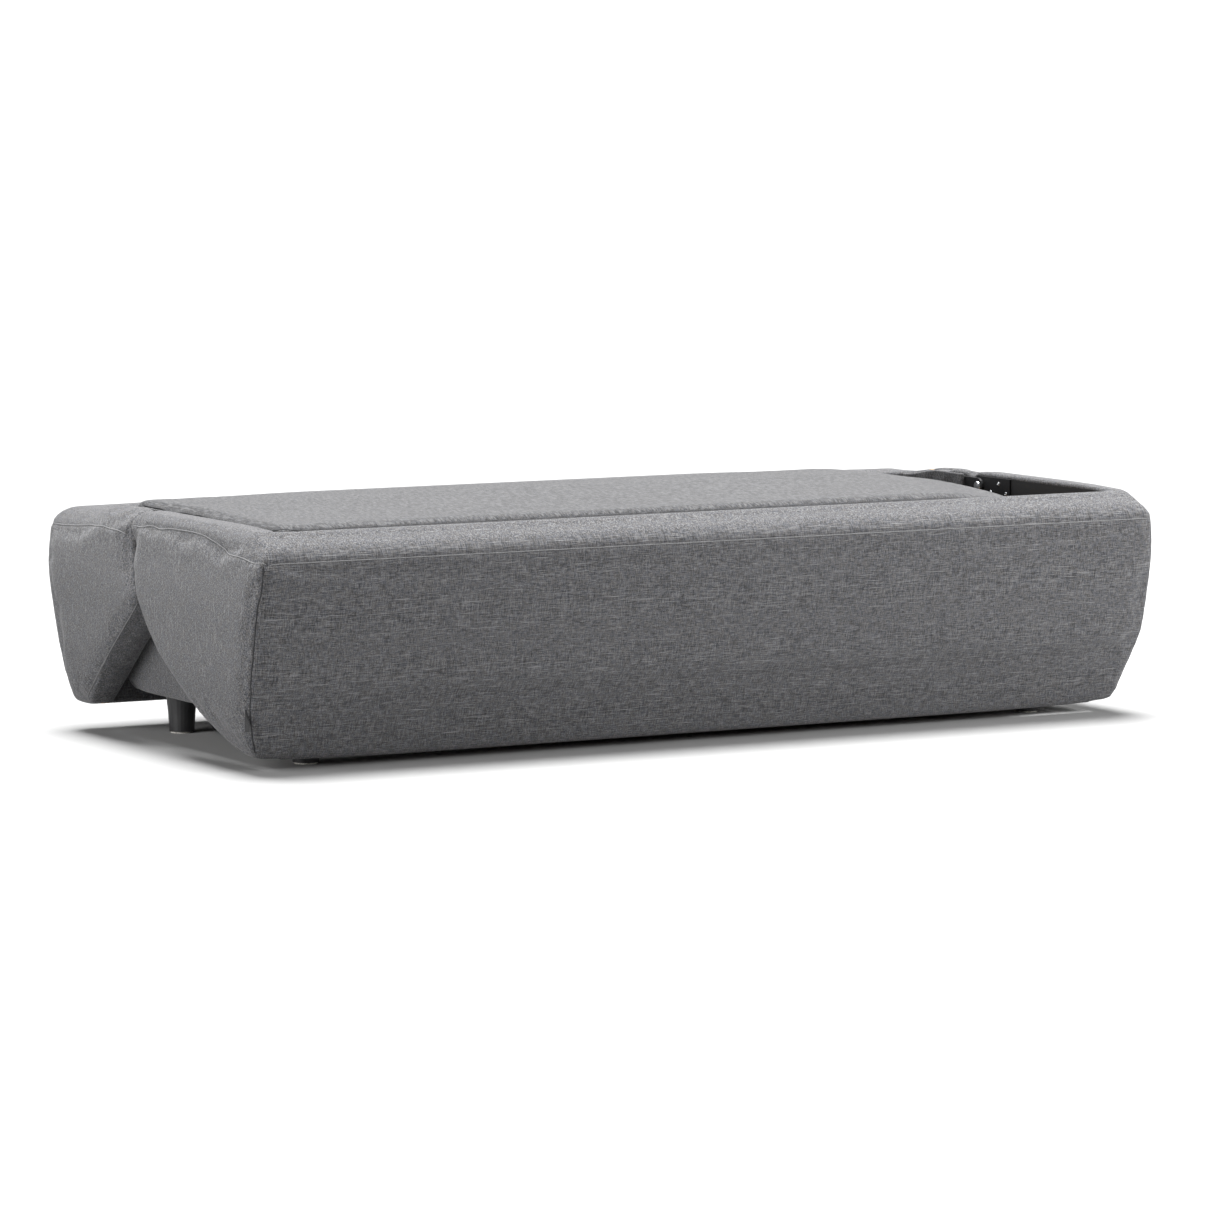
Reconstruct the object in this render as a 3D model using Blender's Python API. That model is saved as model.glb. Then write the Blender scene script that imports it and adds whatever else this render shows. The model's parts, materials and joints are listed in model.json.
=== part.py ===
"""Futon sofa bed with a revolving back shell, modelled unfolded as a bed.

Two upholstered U-shaped shells stand round one mattress. The fixed shell is a long panel
with two end arms, fastened to a timber base on feet. The revolving shell is the same, only
shorter, and hangs on a double-pivot link at each end. It turns half a turn up and over the
ends, lands upside down on the fixed shell, and is then the back and arms of the sofa.

Frame: X along the bed, Y across it from the fixed shell to the revolving one, Z up.
The origin is on the floor, under the middle of the bed. Everything is in metres.
"""

import math

import bmesh
import bpy
from mathutils import Vector

# Whole object
LENGTH = 2.060
DEPTH = 1.000
HEIGHT = 0.475
GAP = 0.0003  # between pieces that touch
HALF_L = LENGTH / 2
HALF_D = DEPTH / 2
CORNER_SETBACK = 0.045  # panel boards stop this far inside the ends
PAD_BEVEL = 0.012
DRILL_PAST = 0.002  # a drill goes this far past each face

# Arms at both ends: a board towards the mattress and a pad outside it
ARM_INNER_X = 0.970
BOARD_T = 0.018
PAD_INNER_X = ARM_INNER_X + BOARD_T + GAP
LINING_T = 0.0097
LINING_DROP = 0.004  # below the top of the shell
LINING_PLATE_GAP = 0.004

# Double-pivot link: two axes along X, one in the nose of each arm
APEX_Y = 0.100
PIVOT_DROP = 0.030
LINK_HALF = 0.038
PIVOT_Z = HEIGHT - PIVOT_DROP
FIXED_PIVOT = (APEX_Y - LINK_HALF, PIVOT_Z)
MOVING_PIVOT = (APEX_Y + LINK_HALF, PIVOT_Z)
NOSE_R = 0.030
BOARD_NOSE_R = 0.022  # the boards stop below the padding that wraps over them
REV_ARM_FALL = (0.268, 0.014)  # behind this Y the top of the arm board falls by so much
PLATE_T = 0.004
PLATE_HALF_H = 0.022
LINK_T = 0.006
LINK_R = 0.018
PIN_R = 0.006
PIN_HEAD_R = 0.011
PIN_HEAD_T = 0.003
PIN_DEPTH = 0.006  # how far a rivet goes into the arm board
PIN_CHAMFER = 0.001
RUNNING_GAP = 0.0004
PLATE_X = (ARM_INNER_X - GAP - PLATE_T, ARM_INNER_X - GAP)
LINK_X = (PLATE_X[0] - GAP - LINK_T, PLATE_X[0] - GAP)

# Panels
PANEL_BOTTOM_Z = 0.012
ARM_BOTTOM_Z = 0.020
ARM_BOARD_BOTTOM_Z = 0.045
FIXED_BOARD_Z = (0.040, 0.455)
PANEL_INNER_TOP_Y = -0.415
PANEL_INNER_LEAN = 0.040
REV_INNER_Y = 0.350
REV_BOTTOM_Z = 0.050
REV_BOARD_Z = (0.068, 0.456)
REV_BOARD_T = 0.015
REV_LINING_Z = (0.054, 0.472)
REV_LINING_T = 0.012
LINING_SIDE_GAP = 0.001
CROWN_R = 0.044
REV_CROWN_R = 0.048

# Blank label in the corner seam
LABEL_T = 0.0016
LABEL_Y = (-0.448, -0.429)
LABEL_Z = (0.070, 0.114)

# Base: a timber frame with rounded upholstery on the side and ends that show
RAIL_T = 0.022
RAIL_BOTTOM_Z = 0.100
RAIL_TOP_Z = 0.302
CROSS_RAIL_RAISE = 0.004
BASE_HALF_X = 0.920
BASE_Y = (-0.355, 0.310)
BASE_PAD_T = 0.028
BASE_PAD_BOTTOM_Z = 0.088
BASE_PAD_R = 0.050
BASE_PAD_LIP = 0.006
BASE_PAD_BEVEL = 0.008

# Bar on the inside of each fixed arm
BAR_T = 0.012
BAR_Y = (-0.350, 0.030)
BAR_Z = (0.384, 0.412)
BAR_BEVEL = 0.002

# Hinge plates, measured along Y from the pivot to the far end
FIXED_PLATE_END_Y = -0.055
MOVING_PLATE_END_Y = 0.258

# Brackets between the base and the fixed shell
BRACKET_Y = (-0.300, -0.160)
BRACKET_W = 0.040
BRACKET_T = 0.004
BRACKET_TOP_Z = 0.380

# Timber between the base and the long panel
PANEL_BATTEN_Z = (0.150, 0.260)
PANEL_BATTEN_HALF_X = 0.800

# Mattress on sprung slats
SLAT_COUNT = 13
SLAT_W = 0.068
SLAT_T = 0.012
TAPE_W = 0.030
TAPE_T = 0.0015
TAPE_HALF_X = 0.880
SLAT_HALF_REACH = 0.845  # centre of the first and last slat
SLAT_END_GAP = 0.002
TAPE_INSET = 0.004
SLAT_Z = RAIL_TOP_Z + GAP + TAPE_T
MATTRESS_X = (-0.945, 0.930)
MATTRESS_Y = (-0.400, 0.338)
MATTRESS_Z = (0.3200, 0.4700)
COMFORT_T = 0.035
CORE_BEVEL = 0.016
COMFORT_BEVEL = 0.014

# Feet
FOOT_X = 0.848
FOOT_Y = (-0.300, 0.262)
FOOT_TOP_R = 0.034
FOOT_BOTTOM_R = 0.026
GLIDE_T = 0.003
FOOT_PLATE_T = 0.0024
FOOT_PLATE_W = 0.094
STUD_R = 0.005
STUD_LENGTH = 0.036
BATTEN_HALF_W = 0.046
BATTEN_T = 0.045
CLOTH_T = 0.0012
CLOTH_GAP = 0.006  # round the foot plates

COLOURS = {
    "fabric": ((0.155, 0.155, 0.160), 0.92, 0.0),
    "black_fabric": ((0.022, 0.022, 0.024), 0.90, 0.0),
    "felt": ((0.560, 0.540, 0.500), 0.95, 0.0),
    "foam": ((0.800, 0.770, 0.640), 0.90, 0.0),
    "black_board": ((0.025, 0.025, 0.027), 0.70, 0.0),
    "timber": ((0.560, 0.400, 0.240), 0.60, 0.0),
    "beech": ((0.640, 0.460, 0.280), 0.50, 0.0),
    "black_steel": ((0.030, 0.030, 0.032), 0.45, 0.8),
    "zinc": ((0.620, 0.620, 0.630), 0.32, 1.0),
    "black_plastic": ((0.020, 0.020, 0.021), 0.50, 0.0),
    "label_tape": ((0.015, 0.015, 0.016), 0.80, 0.0),
}

SIDES = (("left", -1), ("right", 1))


# ---------------------------------------------------------------- materials and objects


def clear_scene():
    """Empties the file."""
    for obj in list(bpy.data.objects):
        bpy.data.objects.remove(obj, do_unlink=True)


def material(name):
    """The material of a finish, made when first asked for."""
    found = bpy.data.materials.get(name)
    if found:
        return found
    colour, roughness, metallic = COLOURS[name]
    mat = bpy.data.materials.new(name)
    mat.use_nodes = True
    shader = mat.node_tree.nodes["Principled BSDF"]
    shader.inputs["Base Color"].default_value = (*colour, 1.0)
    shader.inputs["Roughness"].default_value = roughness
    shader.inputs["Metallic"].default_value = metallic
    return mat


def add_object(name, bm, finish, parent=None, pivot=(0.0, 0.0, 0.0)):
    """Turns a bmesh in world space into an object whose origin is the given pivot."""
    bmesh.ops.translate(bm, verts=bm.verts, vec=-Vector(pivot))
    bmesh.ops.recalc_face_normals(bm, faces=bm.faces)
    mesh = bpy.data.meshes.new(name)
    bm.to_mesh(mesh)
    bm.free()
    obj = bpy.data.objects.new(name, mesh)
    bpy.context.scene.collection.objects.link(obj)
    obj.data.materials.append(material(finish))
    obj.parent = parent
    obj.location = Vector(pivot) - (parent.location if parent else Vector())
    return obj


def add_pivot(name, place):
    """An empty on a joint's axis."""
    empty = bpy.data.objects.new(name, None)
    bpy.context.scene.collection.objects.link(empty)
    empty.location = place
    return empty


def bevel(obj, width, segments=2):
    """Rounds the sharp edges of an object."""
    modifier = obj.modifiers.new("Bevel", "BEVEL")
    modifier.width = width
    modifier.segments = segments
    modifier.limit_method = "ANGLE"


def combine(obj, bm, operation):
    """Adds an exact Boolean with a bmesh in world space, kept as a hidden helper."""
    helper = add_object(f"{obj.name}_{operation.lower()}", bm, "black_plastic")
    helper.hide_render = True
    helper.display_type = "WIRE"
    modifier = obj.modifiers.new(operation.title(), "BOOLEAN")
    modifier.operation = operation
    modifier.solver = "EXACT"
    modifier.object = helper


def cut_with(obj, bm):
    """Takes the bmesh's volume out of the object."""
    combine(obj, bm, "DIFFERENCE")


def joined_with(obj, bm):
    """Adds the bmesh's volume to the object."""
    combine(obj, bm, "UNION")


# ---------------------------------------------------------------- shapes


def add_box(bm, low, high):
    """Adds a box between two corners."""
    made = bmesh.ops.create_cube(bm, size=1.0)["verts"]
    size = Vector(high) - Vector(low)
    bmesh.ops.scale(bm, verts=made, vec=size)
    bmesh.ops.translate(bm, verts=made, vec=(Vector(low) + Vector(high)) / 2)


def box(low, high):
    """A new box between two corners."""
    bm = bmesh.new()
    add_box(bm, low, high)
    return bm


def add_cylinder(bm, centre, radius, axis, start, end, sides=24):
    """Adds a round bar along X or Z from start to end, with the other two coordinates in centre."""
    made = bmesh.ops.create_cone(
        bm,
        cap_ends=True,
        segments=sides,
        radius1=radius,
        radius2=radius,
        depth=end - start,
    )["verts"]
    bmesh.ops.translate(bm, verts=made, vec=(0, 0, (start + end) / 2))
    if axis == "X":
        for vert in made:
            x, y, z = vert.co
            vert.co = (z, x + centre[0], y + centre[1])
    else:
        bmesh.ops.translate(bm, verts=made, vec=(*centre, 0))


def extrude_x(outline, x_low, x_high):
    """A prism along X from an outline of (y, z) points."""
    bm = bmesh.new()
    loop = [bm.verts.new((x_low, y, z)) for y, z in outline]
    face = bm.faces.new(loop)
    made = bmesh.ops.extrude_face_region(bm, geom=[face])["geom"]
    moved = [item for item in made if isinstance(item, bmesh.types.BMVert)]
    bmesh.ops.translate(bm, verts=moved, vec=(x_high - x_low, 0, 0))
    return bm


def extrude_z(outline, z_low, z_high):
    """A prism along Z from an outline of (x, y) points."""
    bm = bmesh.new()
    face = bm.faces.new([bm.verts.new((x, y, z_low)) for x, y in outline])
    made = bmesh.ops.extrude_face_region(bm, geom=[face])["geom"]
    moved = [item for item in made if isinstance(item, bmesh.types.BMVert)]
    bmesh.ops.translate(bm, verts=moved, vec=(0, 0, z_high - z_low))
    return bm


def swap_x_and_y(bm):
    """Turns a prism along X into one along Y."""
    for vert in bm.verts:
        x, y, z = vert.co
        vert.co = (y, x, z)


def arc(centre, radius, start_deg, end_deg, count):
    """Points on an arc, from one angle to the other."""
    points = []
    for i in range(count + 1):
        angle = math.radians(start_deg + (end_deg - start_deg) * i / count)
        points.append((centre[0] + radius * math.cos(angle), centre[1] + radius * math.sin(angle)))
    return points


def bezier(points, count):
    """Points on a cubic curve, without its first point."""
    a, b, c, d = (Vector(point) for point in points)
    made = []
    for i in range(1, count + 1):
        t = i / count
        s = 1 - t
        made.append(tuple(a * s**3 + b * 3 * s * s * t + c * 3 * s * t * t + d * t**3))
    return made


def span(low, high, side):
    """The stretch low..high on +X, mirrored to -X when side is -1."""
    return (low, high) if side > 0 else (-high, -low)


# ---------------------------------------------------------------- outlines in Y and Z


def fixed_inner_y(z):
    """The inner face of the fixed panel leans in towards the base lower down."""
    return PANEL_INNER_TOP_Y + PANEL_INNER_LEAN * (HEIGHT - z) / (HEIGHT - PANEL_BOTTOM_Z)


def fixed_arm_outline(nose_r, low_z):
    """Straight top, round nose at the pivot, then one full curve down to the front."""
    top_z = FIXED_PIVOT[1] + nose_r
    low_y = fixed_inner_y(low_z) + GAP
    nose = arc(FIXED_PIVOT, nose_r, 90, -10, 6)
    curve = bezier([nose[-1], (0.075, 0.270), (-0.080, 0.140), (low_y + 0.010, low_z)], 12)
    return [(fixed_inner_y(top_z) + GAP, top_z)] + nose + curve + [(low_y, low_z)]


def revolving_arm_outline(nose_r, fall):
    """Top that falls at the rear, round nose, edge down beside the fixed arm, then a straight slant."""
    nose = arc(MOVING_PIVOT, nose_r, 90, 190, 6)
    rear = REV_INNER_Y - GAP
    lobe = [(0.064, 0.310), (0.062, 0.296), (0.070, 0.284)]
    top = MOVING_PIVOT[1] + nose_r
    edge = [(rear, top - fall), (REV_ARM_FALL[0], top)]
    return edge + nose + lobe + [(0.338, 0.066), (rear, 0.058)]


def fixed_pad_outline():
    """Crowned top edge, and an outer face that leans in below it."""
    crown = arc((CROWN_R - HALF_D, HEIGHT - CROWN_R), CROWN_R, 90, 180, 6)
    foot = [
        (-0.480, 0.305),
        (-0.467, 0.236),
        (-0.454, 0.180),
        (-0.438, 0.140),
        (-0.420, 0.100),
        (-0.407, 0.060),
        (-0.402, 0.024),
        (-0.398, PANEL_BOTTOM_Z),
    ]
    inner = BOARD_T + GAP
    low = (fixed_inner_y(PANEL_BOTTOM_Z) - inner, PANEL_BOTTOM_Z)
    return [(fixed_inner_y(HEIGHT) - inner, HEIGHT)] + crown + foot + [low]


def fixed_board_outline():
    """Upright board, parallel to the leaning inner face."""
    low_z, top_z = FIXED_BOARD_Z
    top = fixed_inner_y(top_z)
    low = fixed_inner_y(low_z)
    return [(top, top_z), (top - BOARD_T, top_z), (low - BOARD_T, low_z), (low, low_z)]


def revolving_pad_outline(inner_y):
    """Crowned top edge, and an outer face that draws in below it."""
    crown = arc((HALF_D - REV_CROWN_R, HEIGHT - REV_CROWN_R), REV_CROWN_R, 90, 0, 6)
    foot = [
        (0.492, 0.307),
        (0.468, 0.236),
        (0.447, 0.170),
        (0.438, 0.120),
        (0.430, 0.080),
        (0.412, REV_BOTTOM_Z),
    ]
    return [(inner_y, HEIGHT)] + crown + foot + [(inner_y, REV_BOTTOM_Z)]


def base_pad_outline():
    """Upright side with a round bottom edge, as the side of the sofa's seat."""
    outer = BASE_Y[1] + GAP + BASE_PAD_T
    low = BASE_PAD_BOTTOM_Z
    corner = arc((outer - BASE_PAD_R, low + BASE_PAD_R), BASE_PAD_R, 0, -60, 5)
    inner = BASE_Y[1] + GAP
    return [(inner, RAIL_TOP_Z), (outer, RAIL_TOP_Z)] + corner + [(inner, low + BASE_PAD_LIP)]


def round_plate_outline(pivot, reach_y):
    """A flat bar in Y and Z with a round end at the pivot, running to reach_y."""
    towards = 1 if reach_y > pivot[0] else -1
    end = [(reach_y, pivot[1] + PLATE_HALF_H * towards), (reach_y, pivot[1] - PLATE_HALF_H * towards)]
    start, stop = (-90, -270) if towards > 0 else (90, -90)
    return end + arc(pivot, PLATE_HALF_H, start, stop, 10)


def turned(rings, centre, axis, sides):
    """A closed turned body from (height, radius) rings, along X or Z."""
    bm = bmesh.new()
    loops = []
    for height, radius in rings:
        loop = []
        for i in range(sides):
            angle = 2 * math.pi * i / sides
            u = centre[0] + radius * math.cos(angle)
            v = centre[1] + radius * math.sin(angle)
            loop.append(bm.verts.new((height, u, v) if axis == "X" else (u, v, height)))
        loops.append(loop)
    for lower, upper in zip(loops, loops[1:]):
        for i in range(sides):
            j = (i + 1) % sides
            bm.faces.new((lower[i], lower[j], upper[j], upper[i]))
    bm.faces.new(loops[0])
    bm.faces.new(loops[-1])
    return bm


# ---------------------------------------------------------------- fixed shell


def build_fixed_shell():
    """Long panel, two end arms, their hinge plates and bars."""
    panel_pad = extrude_x(fixed_pad_outline(), -HALF_L, HALF_L)
    bevel(add_object("fixed_panel_pad", panel_pad, "fabric"), PAD_BEVEL)
    reach = HALF_L - CORNER_SETBACK
    board = extrude_x(fixed_board_outline(), -reach, reach)
    add_object("fixed_panel_board", board, "black_board")
    for name, side in SIDES:
        pad = extrude_x(fixed_arm_outline(NOSE_R, ARM_BOTTOM_Z), *span(PAD_INNER_X, HALF_L, side))
        add_object("fixed_arm_pad_" + name, pad, "fabric")
        outline = fixed_arm_outline(BOARD_NOSE_R, ARM_BOARD_BOTTOM_Z)
        board = extrude_x(outline, *span(ARM_INNER_X, ARM_INNER_X + BOARD_T, side))
        add_object("fixed_arm_board_" + name, board, "black_board")
        plate = extrude_x(round_plate_outline(FIXED_PIVOT, FIXED_PLATE_END_Y), *span(*PLATE_X, side))
        add_object("fixed_hinge_plate_" + name, plate, "black_steel")
        build_side_bar(name, side)


def build_side_bar(name, side):
    """Black steel bar along the inside of the fixed arm, below the hinge."""
    low, high = span(ARM_INNER_X - GAP - BAR_T, ARM_INNER_X - GAP, side)
    bar = box((low, BAR_Y[0], BAR_Z[0]), (high, BAR_Y[1], BAR_Z[1]))
    bevel(add_object("side_bar_" + name, bar, "black_steel"), BAR_BEVEL, 1)


def build_label():
    """Small tape tab, folded and blank, that stands out of the corner seam of the fixed shell."""
    outer = 0.0001 - HALF_L
    bm = box((outer, LABEL_Y[0], LABEL_Z[0]), (outer + LABEL_T, LABEL_Y[1], LABEL_Z[1]))
    add_object("sewn_label", bm, "label_tape")


# ---------------------------------------------------------------- revolving shell


def build_links():
    """One link at each end, drilled for its two rivets."""
    centre = (0.0, *FIXED_PIVOT)
    empty = add_pivot("link_axis", centre)
    for name, side in SIDES:
        outline = arc(FIXED_PIVOT, LINK_R, 90, 270, 8) + arc(MOVING_PIVOT, LINK_R, -90, 90, 8)
        bm = extrude_x(outline, *span(*LINK_X, side))
        link = add_object("hinge_link_" + name, bm, "black_steel", empty, centre)
        pivots = [FIXED_PIVOT, MOVING_PIVOT]
        reach = span(LINK_X[0] - DRILL_PAST, LINK_X[1] + DRILL_PAST, side)
        cutter = bmesh.new()
        for pivot in pivots:
            add_cylinder(cutter, pivot, PIN_R + RUNNING_GAP, "X", *reach)
        cut_with(link, cutter)


def pivot_pin(pivot, side):
    """Rivet with a round head on the mattress side, through the link and the plate."""
    end = ARM_INNER_X + PIN_DEPTH
    under = LINK_X[0] - GAP
    rings = [
        (side * end, PIN_R * 0.8),
        (side * (end - PIN_CHAMFER), PIN_R),
        (side * under, PIN_R),
        (side * under, PIN_HEAD_R),
        (side * (under - 0.6 * PIN_HEAD_T), PIN_HEAD_R * 0.9),
        (side * (under - PIN_HEAD_T), PIN_HEAD_R * 0.45),
    ]
    return turned(rings, pivot, "X", 20)


def drill_for_pin(piece, pivot, side):
    """Cuts the rivet's hole in a plate or board."""
    cutter = bmesh.new()
    reach = span(PLATE_X[0] - DRILL_PAST, ARM_INNER_X + PIN_DEPTH + DRILL_PAST, side)
    add_cylinder(cutter, pivot, PIN_R + GAP, "X", *reach)
    cut_with(piece, cutter)


def build_pins():
    """One rivet in each plate: those of the fixed shell stay, the others turn with the shell."""
    shell_axis = bpy.data.objects["shell_axis"]
    for name, side in SIDES:
        for kind, pivot, parent in (("fixed", FIXED_PIVOT, None), ("moving", MOVING_PIVOT, shell_axis)):
            shell = "fixed" if kind == "fixed" else "revolving"
            drill_for_pin(bpy.data.objects[f"{kind}_hinge_plate_{name}"], pivot, side)
            drill_for_pin(bpy.data.objects[f"{shell}_arm_board_{name}"], pivot, side)
            pin = pivot_pin(pivot, side)
            add_object(f"{kind}_pivot_pin_{name}", pin, "zinc", parent, (0.0, *pivot))


def build_revolving_shell():
    """Long panel and two end arms, each a pad, a board and an inner lining, with hinge plates."""
    centre = (0.0, *MOVING_PIVOT)
    empty = add_pivot("shell_axis", centre)

    def add(name, bm, finish):
        return add_object(name, bm, finish, empty, centre)

    lining_y = REV_INNER_Y + REV_LINING_T
    board_y = lining_y + GAP + REV_BOARD_T
    reach = HALF_L - CORNER_SETBACK
    half = ARM_INNER_X - GAP - LINING_T - LINING_SIDE_GAP
    lining = box((-half, REV_INNER_Y, REV_LINING_Z[0]), (half, lining_y, REV_LINING_Z[1]))
    add("revolving_panel_lining", lining, "fabric")
    board = box((-reach, lining_y + GAP, REV_BOARD_Z[0]), (reach, board_y, REV_BOARD_Z[1]))
    add("revolving_panel_board", board, "timber")
    pad = extrude_x(revolving_pad_outline(board_y + GAP), -HALF_L, HALF_L)
    bevel(add("revolving_panel_pad", pad, "fabric"), PAD_BEVEL)
    for name, side in SIDES:
        pad = extrude_x(revolving_arm_outline(NOSE_R, 0.0), *span(PAD_INNER_X, HALF_L, side))
        add("revolving_arm_pad_" + name, pad, "fabric")
        outline = revolving_arm_outline(BOARD_NOSE_R, REV_ARM_FALL[1])
        bm = extrude_x(outline, *span(ARM_INNER_X, ARM_INNER_X + BOARD_T, side))
        add("revolving_arm_board_" + name, bm, "timber")
        bm = extrude_x(round_plate_outline(MOVING_PIVOT, MOVING_PLATE_END_Y), *span(*PLATE_X, side))
        add("moving_hinge_plate_" + name, bm, "black_steel")
        reach_x = span(ARM_INNER_X - GAP - LINING_T, ARM_INNER_X - GAP, side)
        lining = extrude_x(arm_lining_outline(), *reach_x)
        add("revolving_arm_lining_" + name, lining, "fabric")


def arm_lining_outline():
    """Fabric pad on the inside of the revolving arm, below and behind the hinge plate."""
    rear = REV_INNER_Y - GAP
    below = PIVOT_Z - PLATE_HALF_H - LINING_PLATE_GAP
    behind = MOVING_PLATE_END_Y + LINING_PLATE_GAP
    top = HEIGHT - LINING_DROP
    return [
        (rear, top),
        (behind, top),
        (behind, below),
        (0.114, below),
        (0.072, 0.300),
        (0.078, 0.290),
        (0.330, 0.082),
        (rear, 0.076),
    ]


# ---------------------------------------------------------------- base


def build_rails():
    """Box frame of the base, with one rail across its middle."""
    low_y, high_y = BASE_Y
    for name, y in (("hidden", low_y), ("seat", high_y - RAIL_T)):
        bm = box((-BASE_HALF_X, y, RAIL_BOTTOM_Z), (BASE_HALF_X, y + RAIL_T, RAIL_TOP_Z))
        add_object("base_rail_" + name + "_side", bm, "timber")
    inner = (low_y + RAIL_T + GAP, high_y - RAIL_T - GAP)
    for name, side in SIDES:
        low, high = span(BASE_HALF_X - RAIL_T, BASE_HALF_X, side)
        bm = box((low, inner[0], RAIL_BOTTOM_Z), (high, inner[1], RAIL_TOP_Z))
        add_object("base_rail_" + name, bm, "timber")
    half = RAIL_T / 2
    bm = box((-half, inner[0], RAIL_BOTTOM_Z + CROSS_RAIL_RAISE), (half, inner[1], RAIL_TOP_Z))
    add_object("base_cross_rail", bm, "timber")


def build_feet():
    """Turned feet on studs, each through a steel plate into a cross batten of the base."""
    plate_top = RAIL_BOTTOM_Z - GAP
    plate_low = plate_top - FOOT_PLATE_T
    foot_top = plate_low - GAP
    stud_top = RAIL_BOTTOM_Z + STUD_LENGTH
    half = FOOT_PLATE_W / 2
    for side_name, side in SIDES:
        x = side * FOOT_X
        low = (x - BATTEN_HALF_W, BASE_Y[0] + RAIL_T + GAP, RAIL_BOTTOM_Z)
        high = (x + BATTEN_HALF_W, BASE_Y[1] - RAIL_T - GAP, RAIL_BOTTOM_Z + BATTEN_T)
        batten = add_object("foot_batten_" + side_name, box(low, high), "timber")
        for place, y in zip(("hidden", "seat"), FOOT_Y):
            name = f"{place}_{side_name}"
            rings = [
                (GLIDE_T + GAP, FOOT_BOTTOM_R),
                (0.40 * foot_top, FOOT_BOTTOM_R + 0.002),
                (foot_top - 0.004, FOOT_TOP_R),
                (foot_top, FOOT_TOP_R - 0.001),
                (foot_top, STUD_R),
                (stud_top, STUD_R),
            ]
            foot = add_object("foot_" + name, turned(rings, (x, y), "Z", 24), "black_plastic")
            foot.data.shade_smooth()
            foot.data.set_sharp_from_angle(angle=math.radians(40))
            plate = box((x - half, y - half, plate_low), (x + half, y + half, plate_top))
            plate = add_object("foot_plate_" + name, plate, "zinc")
            for piece in (batten, plate):
                cutter = bmesh.new()
                reach = (plate_low - DRILL_PAST, stud_top + DRILL_PAST)
                add_cylinder(cutter, (x, y), STUD_R + RUNNING_GAP, "Z", *reach)
                cut_with(piece, cutter)
            glide = bmesh.new()
            add_cylinder(glide, (x, y), FOOT_BOTTOM_R - 0.003, "Z", 0.0, GLIDE_T, sides=20)
            add_object("foot_glide_" + name, glide, "felt")


def build_base_pads():
    """Round-bottomed pads on the seat side and the ends, where the base shows."""
    ends_x = BASE_HALF_X + GAP + BASE_PAD_T
    side_pad = extrude_x(base_pad_outline(), -ends_x, ends_x)
    bevel(add_object("base_seat_pad", side_pad, "fabric"), BASE_PAD_BEVEL)
    low = BASE_PAD_BOTTOM_Z
    for name, side in SIDES:
        centre = (BASE_HALF_X + GAP + BASE_PAD_T - BASE_PAD_R, low + BASE_PAD_R)
        corner = arc(centre, BASE_PAD_R, 0, -60, 5)
        inner = BASE_HALF_X + GAP
        outline = [(inner, RAIL_TOP_Z), (inner + BASE_PAD_T, RAIL_TOP_Z)] + corner + [(inner, low + BASE_PAD_LIP)]
        bm = extrude_x([(side * x, z) for x, z in outline], BASE_Y[0], BASE_Y[1])
        swap_x_and_y(bm)
        add_object("base_pad_" + name, bm, "fabric")


def build_dust_cover():
    """Thin black cloth under the base, cut round the foot plates."""
    x = BASE_HALF_X - RAIL_T
    reach = FOOT_X - FOOT_PLATE_W / 2 - CLOTH_GAP
    low, high = BASE_Y[0] + RAIL_T, BASE_Y[1] - RAIL_T
    low_in = FOOT_Y[0] + FOOT_PLATE_W / 2 + CLOTH_GAP
    high_in = FOOT_Y[1] - FOOT_PLATE_W / 2 - CLOTH_GAP
    outline = [
        (-reach, low),
        (reach, low),
        (reach, low_in),
        (x, low_in),
        (x, high_in),
        (reach, high_in),
        (reach, high),
        (-reach, high),
        (-reach, high_in),
        (-x, high_in),
        (-x, low_in),
        (-reach, low_in),
    ]
    top = RAIL_BOTTOM_Z - GAP
    add_object("dust_cover", extrude_z(outline, top - CLOTH_T, top), "black_fabric")


def slat_centres():
    """Where the slats lie along X, evenly spaced."""
    reach = SLAT_HALF_REACH
    return [-reach + 2 * reach * i / (SLAT_COUNT - 1) for i in range(SLAT_COUNT)]


def build_slats():
    """Sprung slats stapled to two tapes that keep them apart, resting on the long rails."""
    tape = bmesh.new()
    low_y, high_y = BASE_Y[0] + SLAT_END_GAP, BASE_Y[1] - SLAT_END_GAP
    for y in (low_y + TAPE_INSET, high_y - TAPE_INSET - TAPE_W):
        add_box(tape, (-TAPE_HALF_X, y, SLAT_Z - TAPE_T), (TAPE_HALF_X, y + TAPE_W, SLAT_Z + TAPE_T))
    slats = bmesh.new()
    for x in slat_centres():
        half = SLAT_W / 2
        add_box(slats, (x - half, low_y, SLAT_Z), (x + half, high_y, SLAT_Z + SLAT_T))
    roll = add_object("slat_roll", slats, "beech")
    joined_with(roll, tape)


def shell_bracket_outline():
    """Angle in X and Z: a foot on the end rail and a flange up the arm's board."""
    low = RAIL_TOP_Z + GAP
    outer = ARM_INNER_X - GAP
    inner = BASE_HALF_X - RAIL_T - 0.004
    top = BRACKET_TOP_Z
    return [
        (inner, low),
        (outer, low),
        (outer, top),
        (outer - BRACKET_T, top),
        (outer - BRACKET_T, low + BRACKET_T),
        (inner, low + BRACKET_T),
    ]


def build_shell_brackets():
    """Steel angles that carry the fixed shell on the ends of the base."""
    half = BRACKET_W / 2
    for name, side in SIDES:
        for number, y in enumerate(BRACKET_Y, 1):
            bm = extrude_x([(side * x, z) for x, z in shell_bracket_outline()], y - half, y + half)
            swap_x_and_y(bm)
            add_object(f"shell_bracket_{name}_{number}", bm, "black_steel")


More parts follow.
